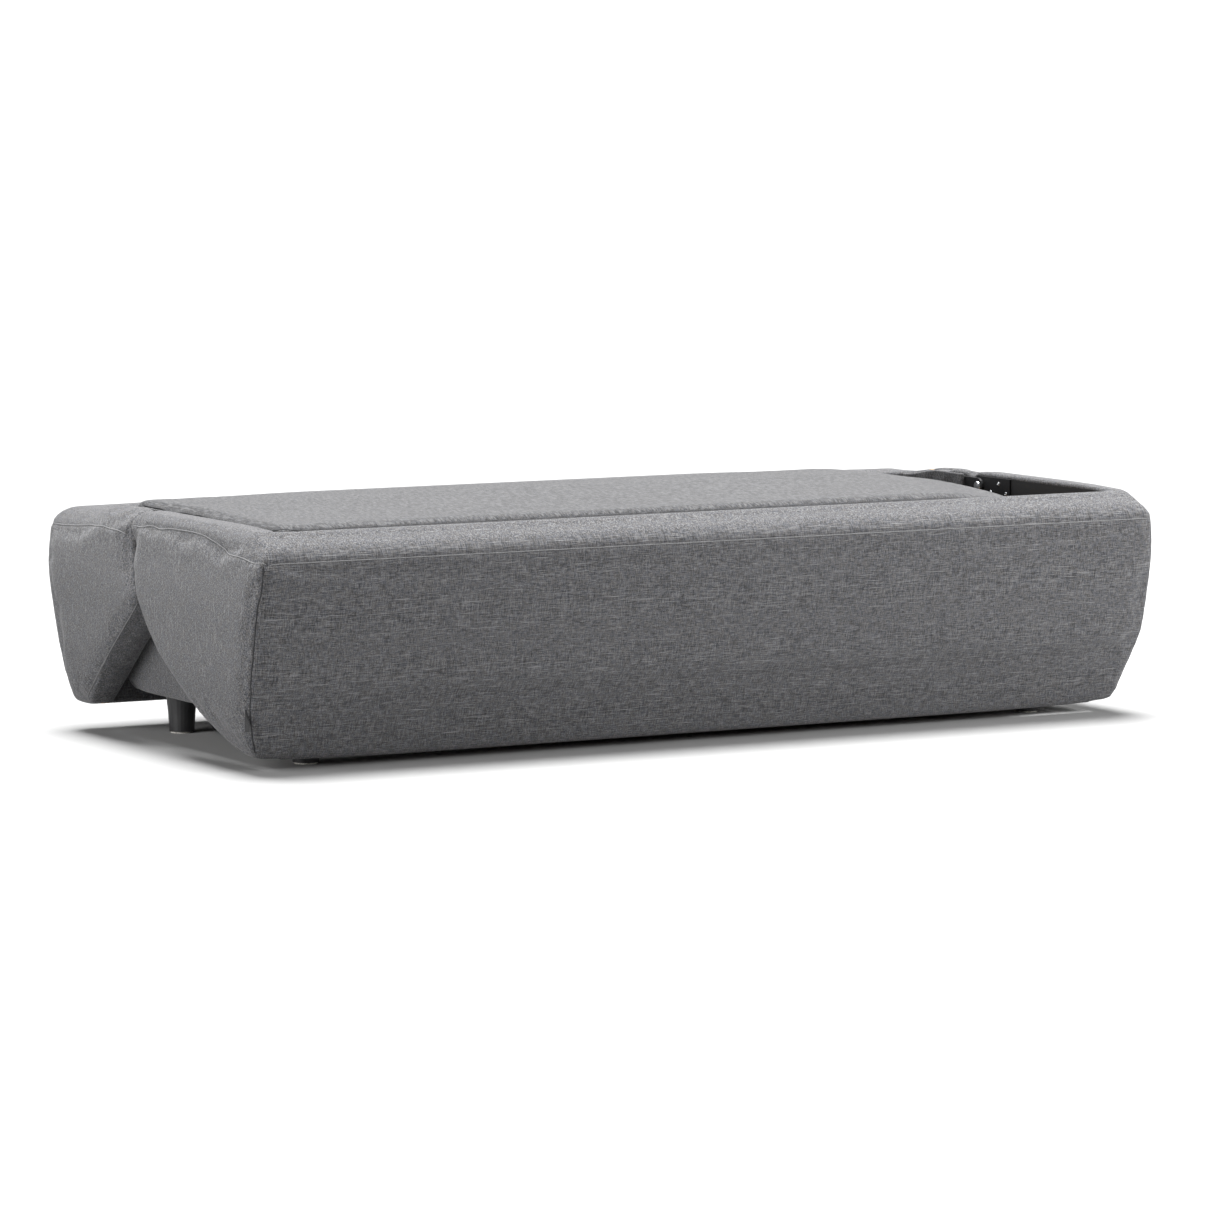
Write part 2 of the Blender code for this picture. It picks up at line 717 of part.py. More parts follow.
def build_panel_batten():
    """Timber between the base and the long panel of the fixed shell."""
    low, high = PANEL_BATTEN_Z
    outline = [
        (BASE_Y[0] - GAP, low),
        (BASE_Y[0] - GAP, high),
        (fixed_inner_y(high) + GAP, high),
        (fixed_inner_y(low) + GAP, low),
    ]
    reach = PANEL_BATTEN_HALF_X
    add_object("panel_batten", extrude_x(outline, -reach, reach), "timber")


def build_mattress():
    """One-piece mattress: a core and the comfort layer on it."""
    low = (MATTRESS_X[0], MATTRESS_Y[0], MATTRESS_Z[0])
    split = MATTRESS_Z[1] - COMFORT_T
    core = box(low, (MATTRESS_X[1], MATTRESS_Y[1], split - GAP))
    bevel(add_object("mattress_core", core, "foam"), CORE_BEVEL)
    layer = box((MATTRESS_X[0], MATTRESS_Y[0], split), (MATTRESS_X[1], MATTRESS_Y[1], MATTRESS_Z[1]))
    bevel(add_object("mattress_comfort_layer", layer, "fabric"), COMFORT_BEVEL)


def main():
    """Builds every piece. The links come before the rivets, and both shells before the drilling."""
    clear_scene()
    build_fixed_shell()
    build_revolving_shell()
    build_links()
    build_pins()
    build_label()
    build_rails()
    build_feet()
    build_base_pads()
    build_dust_cover()
    build_slats()
    build_shell_brackets()
    build_panel_batten()
    build_mattress()


main()
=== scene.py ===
"""Looks of the futon sofa bed: upholstery, seams, small fittings, materials, studio and camera.

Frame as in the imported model: X along the bed, Y across it, Z up, origin on the floor under the
middle. "Front" is the fixed shell's long side (-Y), "rear" is the revolving shell's (+Y).
Everything is in metres. The soft shapes are distance fields turned into quad meshes, puffed up
by a cloth simulation and then given their seams.
"""

import itertools
import json
import math

import bpy
import numpy as np
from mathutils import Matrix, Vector
from mathutils.bvhtree import BVHTree


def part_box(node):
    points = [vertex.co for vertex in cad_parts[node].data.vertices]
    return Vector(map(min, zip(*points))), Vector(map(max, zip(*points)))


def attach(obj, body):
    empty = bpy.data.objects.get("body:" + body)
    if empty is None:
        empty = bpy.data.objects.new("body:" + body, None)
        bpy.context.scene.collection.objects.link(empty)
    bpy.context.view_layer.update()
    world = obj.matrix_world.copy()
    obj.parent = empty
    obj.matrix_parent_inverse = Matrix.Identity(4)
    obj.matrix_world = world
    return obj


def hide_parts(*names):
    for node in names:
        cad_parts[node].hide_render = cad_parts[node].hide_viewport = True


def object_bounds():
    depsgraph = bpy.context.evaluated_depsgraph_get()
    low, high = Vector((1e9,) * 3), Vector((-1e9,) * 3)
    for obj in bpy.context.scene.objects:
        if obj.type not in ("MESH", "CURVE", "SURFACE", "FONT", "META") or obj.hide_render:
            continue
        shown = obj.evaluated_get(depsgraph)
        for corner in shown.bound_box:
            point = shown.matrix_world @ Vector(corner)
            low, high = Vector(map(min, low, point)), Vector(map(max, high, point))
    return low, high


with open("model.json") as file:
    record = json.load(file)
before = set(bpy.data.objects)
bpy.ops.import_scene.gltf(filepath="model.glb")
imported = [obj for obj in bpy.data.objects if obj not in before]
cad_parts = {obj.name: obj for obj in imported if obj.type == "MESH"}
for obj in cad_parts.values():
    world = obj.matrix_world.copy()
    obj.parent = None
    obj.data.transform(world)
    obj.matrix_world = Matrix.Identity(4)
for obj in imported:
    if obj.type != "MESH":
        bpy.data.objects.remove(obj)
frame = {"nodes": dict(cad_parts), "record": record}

CAD_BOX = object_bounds()
SIDES = (("left", -1.0), ("right", 1.0))

# ---------------------------------------------------------------- sizes taken from the frame
HALF_L = CAD_BOX[1].x
HALF_D = CAD_BOX[1].y
HEIGHT = CAD_BOX[1].z
BOARD_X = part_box("fixed_arm_board_right")[0].x
ARM_PAD_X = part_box("fixed_arm_pad_right")[0].x
PANEL_LOW_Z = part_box("fixed_panel_pad")[0].z
REV_LOW_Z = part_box("revolving_panel_pad")[0].z
BOARD_TOP_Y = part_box("fixed_arm_board_right")[0].y
LINING_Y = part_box("revolving_panel_lining")[0].y
LINING_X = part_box("revolving_arm_lining_right")[0].x
FIXED_PIVOT = (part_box("fixed_pivot_pin_right")[0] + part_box("fixed_pivot_pin_right")[1]) / 2
MOVING_PIVOT = (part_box("moving_pivot_pin_right")[0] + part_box("moving_pivot_pin_right")[1]) / 2
APEX_Y = (FIXED_PIVOT.y + MOVING_PIVOT.y) / 2
NOSE_R = 0.0368  # rounded arm end about each pivot

# ---------------------------------------------------------------- fields and meshes


def eased(points, spread):
    """Function of one value through (value, result) points, with its corners eased over spread."""
    xs, ys = zip(*points)
    pad = 4 * spread
    fine = np.arange(xs[0] - pad, xs[-1] + pad, spread / 8)
    weights = np.hanning(17)
    values = np.convolve(np.pad(np.interp(fine, xs, ys), 8, mode="edge"), weights / weights.sum(), "valid")
    return lambda q: np.interp(q, fine, values)


def step_between(value, start, end):
    """0 before start, 1 after end, smooth between."""
    t = np.clip((value - start) / (end - start), 0, 1)
    return t * t * (3 - 2 * t)


def both(a, b, r):
    """Where two fields overlap, the edge rounded to radius r."""
    return np.hypot(np.maximum(a + r, 0), np.maximum(b + r, 0)) + np.minimum(np.maximum(a, b) + r, 0) - r


def outline_field(points, ys, zs):
    """Signed distance of each (y, z) to a closed outline, negative inside."""
    p = np.array(points, float)
    q = np.roll(p, -1, axis=0)
    gy, gz = np.meshgrid(ys, zs, indexing="ij")
    best = np.full(gy.shape, 1e9)
    inside = np.zeros(gy.shape, bool)
    for (ay, az), (by, bz) in zip(p, q):
        ey, ez = by - ay, bz - az
        t = np.clip(((gy - ay) * ey + (gz - az) * ez) / (ey * ey + ez * ez + 1e-12), 0, 1)
        best = np.minimum(best, np.hypot(gy - ay - t * ey, gz - az - t * ez))
        if az != bz:
            inside ^= ((az > gz) != (bz > gz)) & (gy < ey * (gz - az) / ez + ay)
    return np.where(inside, -best, best)


def arc(centre, radius, start, end, count=14):
    """Points (y, z) of an arc, angles in degrees from +Y towards +Z."""
    return [
        (centre[0] + radius * math.cos(math.radians(a)), centre[1] + radius * math.sin(math.radians(a)))
        for a in np.linspace(start, end, count)
    ]


def through(points, count=8):
    """Points of a smooth curve that passes through the given ones."""
    p = [np.array(q, float) for q in points]
    p = [2 * p[0] - p[1], *p, 2 * p[-1] - p[-2]]
    found = []
    for a, b, c, d in zip(p, p[1:], p[2:], p[3:]):
        for t in np.arange(count) / count:
            bend, twist = 2 * a - 5 * b + 4 * c - d, 3 * b - a - 3 * c + d
            found.append(0.5 * (2 * b + (c - a) * t + bend * t**2 + twist * t**3))
    return [*found, p[-2]]


def grid(low, high, step):
    """Open grid of X, Y and Z values that covers a box."""
    axes = [np.arange(a, b + step, step) for a, b in zip(low, high)]
    return axes[0][:, None, None], axes[1][None, :, None], axes[2][None, None, :]


def skin(name, field, low, step):
    """Object whose quads follow the zero surface of a field sampled on a grid."""
    inside = field < 0
    n = np.array(field.shape)
    corners = list(itertools.product((0, 1), repeat=3))
    count = sum(
        inside[i : n[0] - 1 + i, j : n[1] - 1 + j, k : n[2] - 1 + k].astype(np.int8) for i, j, k in corners
    )
    cells = np.argwhere((count > 0) & (count < 8))
    index = np.full(n - 1, -1)
    index[tuple(cells.T)] = np.arange(len(cells))
    total, hits = np.zeros((len(cells), 3)), np.zeros(len(cells))
    for a, b in itertools.combinations(corners, 2):
        if sum(abs(u - v) for u, v in zip(a, b)) != 1:
            continue
        fa, fb = field[tuple((cells + a).T)], field[tuple((cells + b).T)]
        cross = (fa < 0) != (fb < 0)
        t = np.where(cross, fa / np.where(cross, fa - fb, 1), 0)
        total += cross[:, None] * (np.array(a) + t[:, None] * (np.array(b) - np.array(a)))
        hits += cross
    verts = np.array(low) + step * (cells + total / hits[:, None])
    faces = []
    for axis in range(3):
        u, v = (axis + 1) % 3, (axis + 2) % 3
        first = [slice(None)] * 3
        second = [slice(None)] * 3
        first[axis], second[axis] = slice(0, -1), slice(1, None)
        change = inside[tuple(first)] != inside[tuple(second)]
        edges = np.argwhere(change)
        within = (edges[:, u] > 0) & (edges[:, v] > 0) & (edges[:, u] < n[u] - 1) & (edges[:, v] < n[v] - 1)
        edges = edges[within]
        ring = []
        for du, dv in ((-1, -1), (0, -1), (0, 0), (-1, 0)):
            cell = edges.copy()
            cell[:, u] += du
            cell[:, v] += dv
            ring.append(index[tuple(cell.T)])
        quads = np.stack(ring, 1)
        outward = inside[tuple(edges.T)]
        quads[~outward] = quads[~outward][:, ::-1]
        faces.append(quads)
    return mesh_object(name, verts, np.concatenate(faces))


def mesh_object(name, verts, faces):
    """Smooth-shaded object from vertices and faces."""
    mesh = bpy.data.meshes.new(name)
    mesh.from_pydata([tuple(v) for v in verts], [], [tuple(int(i) for i in f) for f in faces])
    mesh.validate()
    mesh.shade_smooth()
    obj = bpy.data.objects.new(name, mesh)
    bpy.context.scene.collection.objects.link(obj)
    return obj


def coordinates(obj):
    """Vertex positions as an array."""
    co = np.empty(len(obj.data.vertices) * 3, np.float32)
    obj.data.vertices.foreach_get("co", co)
    return co.reshape(-1, 3).astype(float)


def normals(obj):
    """Vertex normals as an array."""
    no = np.empty(len(obj.data.vertices) * 3, np.float32)
    obj.data.vertices.foreach_get("normal", no)
    return no.reshape(-1, 3).astype(float)


def set_coordinates(obj, co):
    """Puts an array of positions back into the mesh."""
    obj.data.vertices.foreach_set("co", co.astype(np.float32).ravel())
    obj.data.update()


def subdivide(obj):
    """Splits every quad of a cover in four, smoothly."""
    obj.modifiers.new("finer", "SUBSURF").levels = 1
    applied = bpy.data.meshes.new_from_object(obj.evaluated_get(bpy.context.evaluated_depsgraph_get()))
    obj.modifiers.clear()
    obj.data = applied
    obj.data.shade_smooth()


PUFF_FRAMES = 20
PUFF_SINK = 0.15  # share of the cap that a point may sink


def puff(obj, held, pressure, cap):
    """Blows a cover up with a cloth simulation, never past cap. held is 1 where it is stapled down."""
    rest = coordinates(obj)
    group = obj.vertex_groups.new(name="held")
    for level in (1.0, 0.5):
        chosen = np.flatnonzero((held >= level) if level == 1.0 else (held > 0.05) & (held < 1.0))
        group.add([int(i) for i in chosen], level, "REPLACE")
    cloth = obj.modifiers.new("cloth", "CLOTH")
    cloth.settings.vertex_group_mass = "held"
    cloth.settings.quality = 4
    cloth.settings.mass = 0.4
    cloth.settings.tension_stiffness = cloth.settings.compression_stiffness = 18
    cloth.settings.bending_stiffness = 0.6
    cloth.settings.use_pressure = True
    cloth.settings.uniform_pressure_force = pressure
    cloth.settings.effector_weights.gravity = 0
    cloth.settings.shrink_min = -0.008
    cloth.collision_settings.use_collision = False
    scene = bpy.context.scene
    scene.frame_start, scene.frame_end = 1, PUFF_FRAMES
    for number in range(1, PUFF_FRAMES + 1):
        scene.frame_set(number)
    after = bpy.data.meshes.new_from_object(obj.evaluated_get(bpy.context.evaluated_depsgraph_get()))
    co = np.empty(len(after.vertices) * 3, np.float32)
    after.vertices.foreach_get("co", co)
    move = co.reshape(-1, 3) - rest
    obj.modifiers.clear()
    obj.vertex_groups.clear()
    bpy.data.meshes.remove(after)
    facing = normals(obj)
    out = (move * facing).sum(axis=1, keepdims=True)
    set_coordinates(obj, rest + facing * cap * np.tanh(np.maximum(out, -PUFF_SINK * cap) / cap))
    scene.frame_set(1)


# ---------------------------------------------------------------- upholstery shapes

# How far each face stands back from the box, by height: bowed in the middle, drawn in below
front_inset = eased([(0.0, 0.104), (0.03, 0.101), (0.06, 0.094), (0.10, 0.080), (0.14, 0.063), (0.18, 0.047),
                     (0.22, 0.037), (0.26, 0.029), (0.30, 0.021), (0.34, 0.012), (0.38, 0.006), (0.42, 0.002),
                     (0.48, 0.000)], 0.05)
rear_inset = eased([(0.0, 0.090), (0.05, 0.080), (0.08, 0.066), (0.12, 0.060), (0.17, 0.054), (0.236, 0.032),
                    (0.307, 0.008), (0.37, -0.006), (0.42, -0.004), (0.48, 0.000)], 0.05)
end_inset = eased([(0.0, 0.027), (0.03, 0.020), (0.06, 0.011), (0.10, -0.001), (0.14, -0.010), (0.19, -0.016),
                   (0.30, -0.017), (0.34, -0.015), (0.38, -0.010), (0.43, -0.004), (0.48, -0.001)], 0.05)
hem_rise = eased([(0.70, 0.0), (0.85, 0.003), (0.95, 0.008), (1.03, 0.016)], 0.05)

# End views (y, z) of the shells, run past the sides that other fields cut
FIXED_OUTLINE = [
    (-0.60, HEIGHT + 0.10),
    (FIXED_PIVOT.y, HEIGHT + 0.10),
    *arc((FIXED_PIVOT.y, FIXED_PIVOT.z), NOSE_R, 90, -8),
    *through([(APEX_Y - 0.003, 0.428), (0.0865, 0.380), (0.0705, 0.335), (0.035, 0.272), (-0.028, 0.209),
              (-0.098, 0.156), (-0.160, 0.112), (-0.206, 0.082), (-0.312, 0.034), (-0.380, 0.014)]),
    (-0.45, 0.008),
    (-0.60, 0.010),
]
REVOLVING_OUTLINE = [
    (0.60, HEIGHT + 0.10),
    (MOVING_PIVOT.y, HEIGHT + 0.10),
    *arc((MOVING_PIVOT.y, MOVING_PIVOT.z), NOSE_R, 90, 192),
    *through([(0.0925, 0.400), (0.073, 0.350), (0.056, 0.312), (0.055, 0.297), (0.066, 0.284)]),
    *through([(0.100, 0.257), (0.220, 0.160), (0.330, 0.069), (0.352, 0.058)]),
    (0.372, REV_LOW_Z + 0.003),
    (0.60, REV_LOW_Z + 0.003),
]


def fixed_shell(step):
    """Cover of the long front panel and its two arms, hollow towards the mattress."""
    low, high = (-HALF_L - 0.03, -HALF_D - 0.03, -0.02), (HALF_L + 0.03, APEX_Y + 0.03, HEIGHT + 0.03)
    x, y, z = grid(low, high, step)
    ax = np.abs(x)
    sag = hem_rise(ax) * (1 - step_between(z, 0.03, 0.26))
    outline = outline_field(FIXED_OUTLINE, y.ravel(), z.ravel())[None]
    sides = both(ax - HALF_L + end_inset(z), -HALF_D + front_inset(z) - y, 0.014)
    sides = both(sides, PANEL_LOW_Z + 0.001 + sag - z, 0.018)
    arm = step_between(y, -0.42, -0.30) * step_between(ax, HALF_L - 0.16, HALF_L - 0.06)
    slope = 0.030 * np.clip((-0.418 - y) / 0.066, 0, 1.2)
    top = z - HEIGHT + 0.002 - 0.0035 * arm + slope
    crown = both(sides, top, 0.030 - 0.008 * step_between(y, -0.33, -0.19))
    body = both(crown, outline + 0.4 * sag, 0.009)
    lean = 0.040 * (HEIGHT - z) / (HEIGHT - PANEL_LOW_Z)
    lip = z > HEIGHT - 0.012
    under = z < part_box("fixed_panel_board")[0].z - 0.004
    inner_y = np.where(lip, BOARD_TOP_Y + 0.0025, BOARD_TOP_Y - 0.009 + lean + 0.010 * under)
    below_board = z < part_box("fixed_arm_board_right")[0].z - 0.004
    inner_x = np.where(lip, BOARD_X - 0.0012, np.where(below_board, BOARD_X, ARM_PAD_X))
    well = np.maximum(inner_y - y, ax - inner_x)
    return skin("fixed_shell_cover", both(body, -well, 0.007), low, step)


def revolving_shell(step):
    """Cover of the long rear panel and its two arms, hollow towards the mattress."""
    low, high = (-HALF_L - 0.03, 0.03, 0.02), (HALF_L + 0.03, HALF_D + 0.03, HEIGHT + 0.03)
    x, y, z = grid(low, high, step)
    ax = np.abs(x)
    outline = outline_field(REVOLVING_OUTLINE, y.ravel(), z.ravel())[None]
    sides = both(ax - HALF_L + end_inset(z), y - HALF_D + rear_inset(z), 0.018)
    sides = both(sides, REV_LOW_Z - 0.001 + 0.2 * hem_rise(ax) - z, 0.020)
    arm = step_between(-y, -0.42, -0.30) * step_between(ax, HALF_L - 0.16, HALF_L - 0.06)
    fall = step_between(y, 0.20, 0.34) * (0.0075 + 0.0085 * step_between(ax, 0.45, HALF_L - 0.04))
    top = z - HEIGHT + 0.0015 - 0.0030 * arm + fall
    crown = both(sides, top, 0.050 - 0.016 * step_between(-y, -0.36, -0.24))
    body = both(crown, outline, 0.009)
    plate = (y < 0.264) & (z > 0.419)
    inner_x = np.where(plate, BOARD_X - 0.0006, LINING_X)
    well = np.maximum(y - LINING_Y, ax - inner_x)
    return skin("revolving_shell_cover", both(body, -well, 0.007), low, step)


def mattress(step):
    """Loose one-piece mattress with a softly crowned top."""
    lo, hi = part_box("mattress_core")
    low, high = (lo.x - 0.03, lo.y - 0.03, lo.z - 0.03), (hi.x + 0.03, hi.y + 0.03, HEIGHT + 0.04)
    x, y, z = grid(low, high, step)
    left = lo.x - 0.008 + 0.034 * step_between(y, -0.33, 0.20)
    right = hi.x - 0.15 * np.maximum((0.25 - y) / 0.65, 0) ** 1.6
    sides = both(both(left - x, x - right, 0.05), np.maximum(lo.y - 0.0075 - y, y - hi.y - 0.0105), 0.035)
    crown = (1 - np.abs(x / 0.94) ** 3) * (1 - np.abs((y + 0.03) / 0.39) ** 3)
    droop = 0.022 * step_between(x, right - 0.22, right) + 0.004 * step_between(y, 0.10, 0.33)
    top = z - HEIGHT + 0.0005 - 0.0035 * np.maximum(crown, 0) + droop
    body = both(both(sides, top, 0.012 - 0.005 * step_between(y, 0.22, 0.32)), lo.z - z, 0.020)
    return skin("mattress_cover", body, low, step)


def base_cover(step):
    """Round-bottomed fabric over the base's seat side and ends."""
    lo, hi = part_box("base_seat_pad")
    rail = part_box("base_rail_seat_side")[1]
    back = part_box("base_pad_left")[0].y
    low, high = (lo.x - 0.02, back - 0.02, lo.z - 0.02), (hi.x + 0.02, hi.y + 0.02, hi.z + 0.02)
    x, y, z = grid(low, high, step)
    ax = np.abs(x)
    hem = lo.z - 0.008 - z + 0.022 * step_between(y, 0.24, hi.y) * step_between(ax, rail.x, hi.x)
    profile = both(both(y - hi.y, ax - hi.x, 0.026), hem, 0.024)
    body = both(profile, np.maximum(z - hi.z, back - y), 0.006)
    well = np.maximum(y - rail.y - 0.0006, ax - rail.x - 0.0006)
    return skin("base_cover", both(body, -well, 0.005), low, step)


SHELL_STEP, MATTRESS_STEP, BASE_STEP = 0.0085, 0.010, 0.008
fixed_cover = fixed_shell(SHELL_STEP)
revolving_cover = revolving_shell(SHELL_STEP)
mattress_cover = mattress(MATTRESS_STEP)
base_skirt = base_cover(BASE_STEP)


def stapled(obj, test):
    """1 at the points of a cover that its boards hold, from a test on the coordinates."""
    return test(*coordinates(obj).T).astype(float)


SHELL_PUFF = (3.5, 0.007)  # pressure and cap
MATTRESS_PUFF = (2.4, 0.004)
HOLD = 0.003  # how far past a board's face its staples hold


def fixed_staples(x, y, z):
    """Inside of the arms and of the panel, and the bottom edge."""
    between = np.abs(x) < ARM_PAD_X + HOLD
    arm_noses = between & (y > BOARD_TOP_Y - 0.022) & (z < HEIGHT - 0.012)
    panel = between & (y > -0.42 + 0.04 * (HEIGHT - z) / HEIGHT - 0.020)
    return arm_noses | (z < PANEL_LOW_Z + 0.010) | panel


def revolving_staples(x, y, z):
    """The lining and the bottom edge."""
    return ((np.abs(x) < BOARD_X + HOLD) & (y < LINING_Y + 0.004)) | (z < REV_LOW_Z + 0.008)


def mattress_staples(x, y, z):
    """The lower part, which the frame holds in."""
    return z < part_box("mattress_core")[0].z + 0.06


puff(fixed_cover, stapled(fixed_cover, fixed_staples), *SHELL_PUFF)
puff(revolving_cover, stapled(revolving_cover, revolving_staples), *SHELL_PUFF)
puff(mattress_cover, stapled(mattress_cover, mattress_staples), *MATTRESS_PUFF)


# ---------------------------------------------------------------- pinches, dents, seams and painted groove shade


def dent(obj, centre, radius, move):
    """Moves the surface near a point by up to a vector."""
    co = coordinates(obj)
    fall = np.exp(-(((co - np.array(centre)) / np.array(radius)) ** 2).sum(1))
    set_coordinates(obj, co + fall[:, None] * np.array(move))


def along(points, step=0.004):
    """Evenly spaced points on the smooth curve through the given ones."""
    p = np.array(through(points, 12))
    length = np.concatenate([[0], np.cumsum(np.linalg.norm(np.diff(p, axis=0), axis=1))])
    at = np.linspace(0, length[-1], max(2, int(length[-1] / step)))
    return np.stack([np.interp(at, length, p[:, k]) for k in range(3)], 1)


def on_surface(obj, points):
    """Nearest points of an object's surface, with the normals there."""
    tree = BVHTree.FromPolygons([v.co for v in obj.data.vertices], [p.vertices for p in obj.data.polygons])
    found = [tree.find_nearest(Vector(p)) for p in points]
    return np.array([f[0] for f in found]), np.array([f[1] for f in found])


def crease(obj, line, width, depth):
    """Presses a line into a cover."""
    co, no = coordinates(obj), normals(obj)
    low, high = line.min(0) - 3 * width, line.max(0) + 3 * width
    near = np.flatnonzero(((co > low) & (co < high)).all(1))
    best = np.full(len(near), 1e9)
    for start in range(0, len(line), 200):
        gap = co[near][:, None] - line[start : start + 200][None]
        best = np.minimum(best, np.linalg.norm(gap, axis=2).min(1))
    co[near] -= no[near] * (depth * np.exp(-((best / width) ** 2)))[:, None]
    set_coordinates(obj, co)


def smoothed(values, rounds):
    """A row of points or normals, evened out with its neighbours; the ends stay."""
    for _ in range(rounds):
        values = np.concatenate([values[:1], (values[:-2] + 2 * values[1:-1] + values[2:]) / 4, values[-1:]])
    return values


def bead(name, line, up, radius, sides=6, flat=0.7):
    """A thin closed tube along a line, a little flattened against the surface it lies on."""
    ahead = np.gradient(line, axis=0)
    ahead /= np.linalg.norm(ahead, axis=1, keepdims=True) + 1e-12
    across = np.cross(ahead, up)
    across /= np.linalg.norm(across, axis=1, keepdims=True) + 1e-12
    lift = np.cross(across, ahead)
    angle = np.linspace(0, 2 * math.pi, sides, endpoint=False)
    from_end = np.minimum(np.arange(len(line)), np.arange(len(line))[::-1])
    taper = np.minimum(1, from_end / 3 + 0.25)[:, None, None]
    wide, high = np.cos(angle)[None, :, None], flat * np.sin(angle)[None, :, None]
    ring = radius * (wide * across[:, None] + high * lift[:, None])
    verts = (line[:, None] + taper * ring).reshape(-1, 3)
    faces = []
    for i in range(len(line) - 1):
        for j in range(sides):
            k = (j + 1) % sides
            faces.append((i * sides + j, i * sides + k, (i + 1) * sides + k, (i + 1) * sides + j))
    faces.append(tuple(range(sides))[::-1])
    faces.append(tuple((len(line) - 1) * sides + j for j in range(sides)))
    return mesh_object(name, verts, faces)


def seam(name, cover, points, radius, width, depth, lift=0.0):
    """A seam: the cover is pressed in along the line and a bead lies in it: thread and folded edge where it gets
    the light tone, painted shade of the groove where it gets the dark tone.
    """
    line, _ = on_surface(cover, along(points))
    line = smoothed(line, 6)
    crease(cover, line, width, depth)
    line, up = on_surface(cover, line)
    line, up = smoothed(line, 4), smoothed(up, 6)
    return bead(name, line + up * lift, up, radius)


for side in (-1, 1):
    # where the arms meet: the fabric is drawn together
    dent(fixed_cover, (side * 1.036, APEX_Y - 0.003, 0.443), (0.020, 0.014, 0.017), (side * 0.010, 0.004, 0.001))
    dent(fixed_cover, (side * 1.030, APEX_Y - 0.034, 0.425), (0.022, 0.014, 0.034), (side * -0.005, 0, 0))
    dent(fixed_cover, (side * 1.036, APEX_Y - 0.010, 0.405), (0.020, 0.018, 0.016), (side * -0.005, -0.006, 0))
    dent(revolving_cover, (side * 1.014, APEX_Y + 0.040, HEIGHT), (0.020, 0.018, 0.030), (0, 0, -0.008))
    dent(revolving_cover, (side * 1.010, APEX_Y + 0.105, HEIGHT), (0.018, 0.030, 0.030), (0, 0, -0.007))
    dent(revolving_cover, (side * 1.035, APEX_Y + 0.030, 0.400), (0.020, 0.016, 0.060), (side * -0.003, 0, 0))
subdivide(fixed_cover)
subdivide(revolving_cover)
subdivide(mattress_cover)
dent(mattress_cover, (-0.925, 0.165, HEIGHT), (0.018, 0.035, 0.05), (0, 0, -0.012))
dent(mattress_cover, (-0.860, 0.150, HEIGHT), (0.05, 0.050, 0.05), (0, 0, -0.003))

SEAM_Z = 0.419
REAR_SEAM_Z = 0.425
OUT, NEAR = 0.02, 0.01  # how far outside the covers the guide points of a seam lie
LONG_OUT = 0.012
# The corner and mattress-edge profiles shape near-black beads of painted groove shade.
# Bead radius, width and depth of the crease, lift of the bead over the cover
CORNER_SEAM_SHADE_BEAD = (0.0019, 0.006, 0.0030, -0.0004)
MATTRESS_GAP_SHADE_BEAD = (0.0019, 0.006, 0.0030, 0.0)
ARM_SEAM = (0.0012, 0.004, 0.0012, 0.0002)
EDGE_SEAM = (0.0010, 0.004, 0.0008, 0.0002)
SLANT_SEAM = (0.0013, 0.0045, 0.0012, 0.0003)
PANEL_SEAM = (0.0011, 0.005, 0.0016, 0.0)
# Lines of the seams: heights down the corners, (y, z) on the arms
FRONT_CORNER = (SEAM_Z, 0.38, 0.33, 0.28, 0.23, 0.18, 0.13, 0.09, 0.05, 0.022, 0.012)
REAR_CORNER = (REAR_SEAM_Z, 0.38, 0.33, 0.28, 0.23, 0.18, 0.13, 0.09, 0.065)
FIXED_ARM_TOP = ((-0.45, 0.423), (-0.385, 0.428), (-0.325, 0.434), (-0.265, 0.447), (-0.205, 0.4565),
                 (-0.11, 0.4565), (-0.01, 0.4545), (0.05, 0.4545), (0.088, 0.448))
FIXED_ARM_EDGE = ((0.0985, 0.435), (0.094, 0.405), (0.078, 0.343), (0.040, 0.275), (-0.030, 0.207),
                  (-0.110, 0.150), (-0.215, 0.085), (-0.320, 0.036), (-0.390, 0.020))
REVOLVING_ARM_TOP = ((0.45, 0.428), (0.33, 0.4375), (0.245, 0.4405), (0.17, 0.437), (0.118, 0.428))
REVOLVING_SLANT = ((0.060, 0.292), (0.100, 0.256), (0.160, 0.207), (0.220, 0.158), (0.280, 0.109),
                   (0.330, 0.068), (0.352, 0.057))
seams = []


def sew(name, body, tone, cover, points, profile):
    """Sews a seam and notes the body and the tone that it gets."""
    seams.append((body, tone, seam(name, cover, points, *profile)))


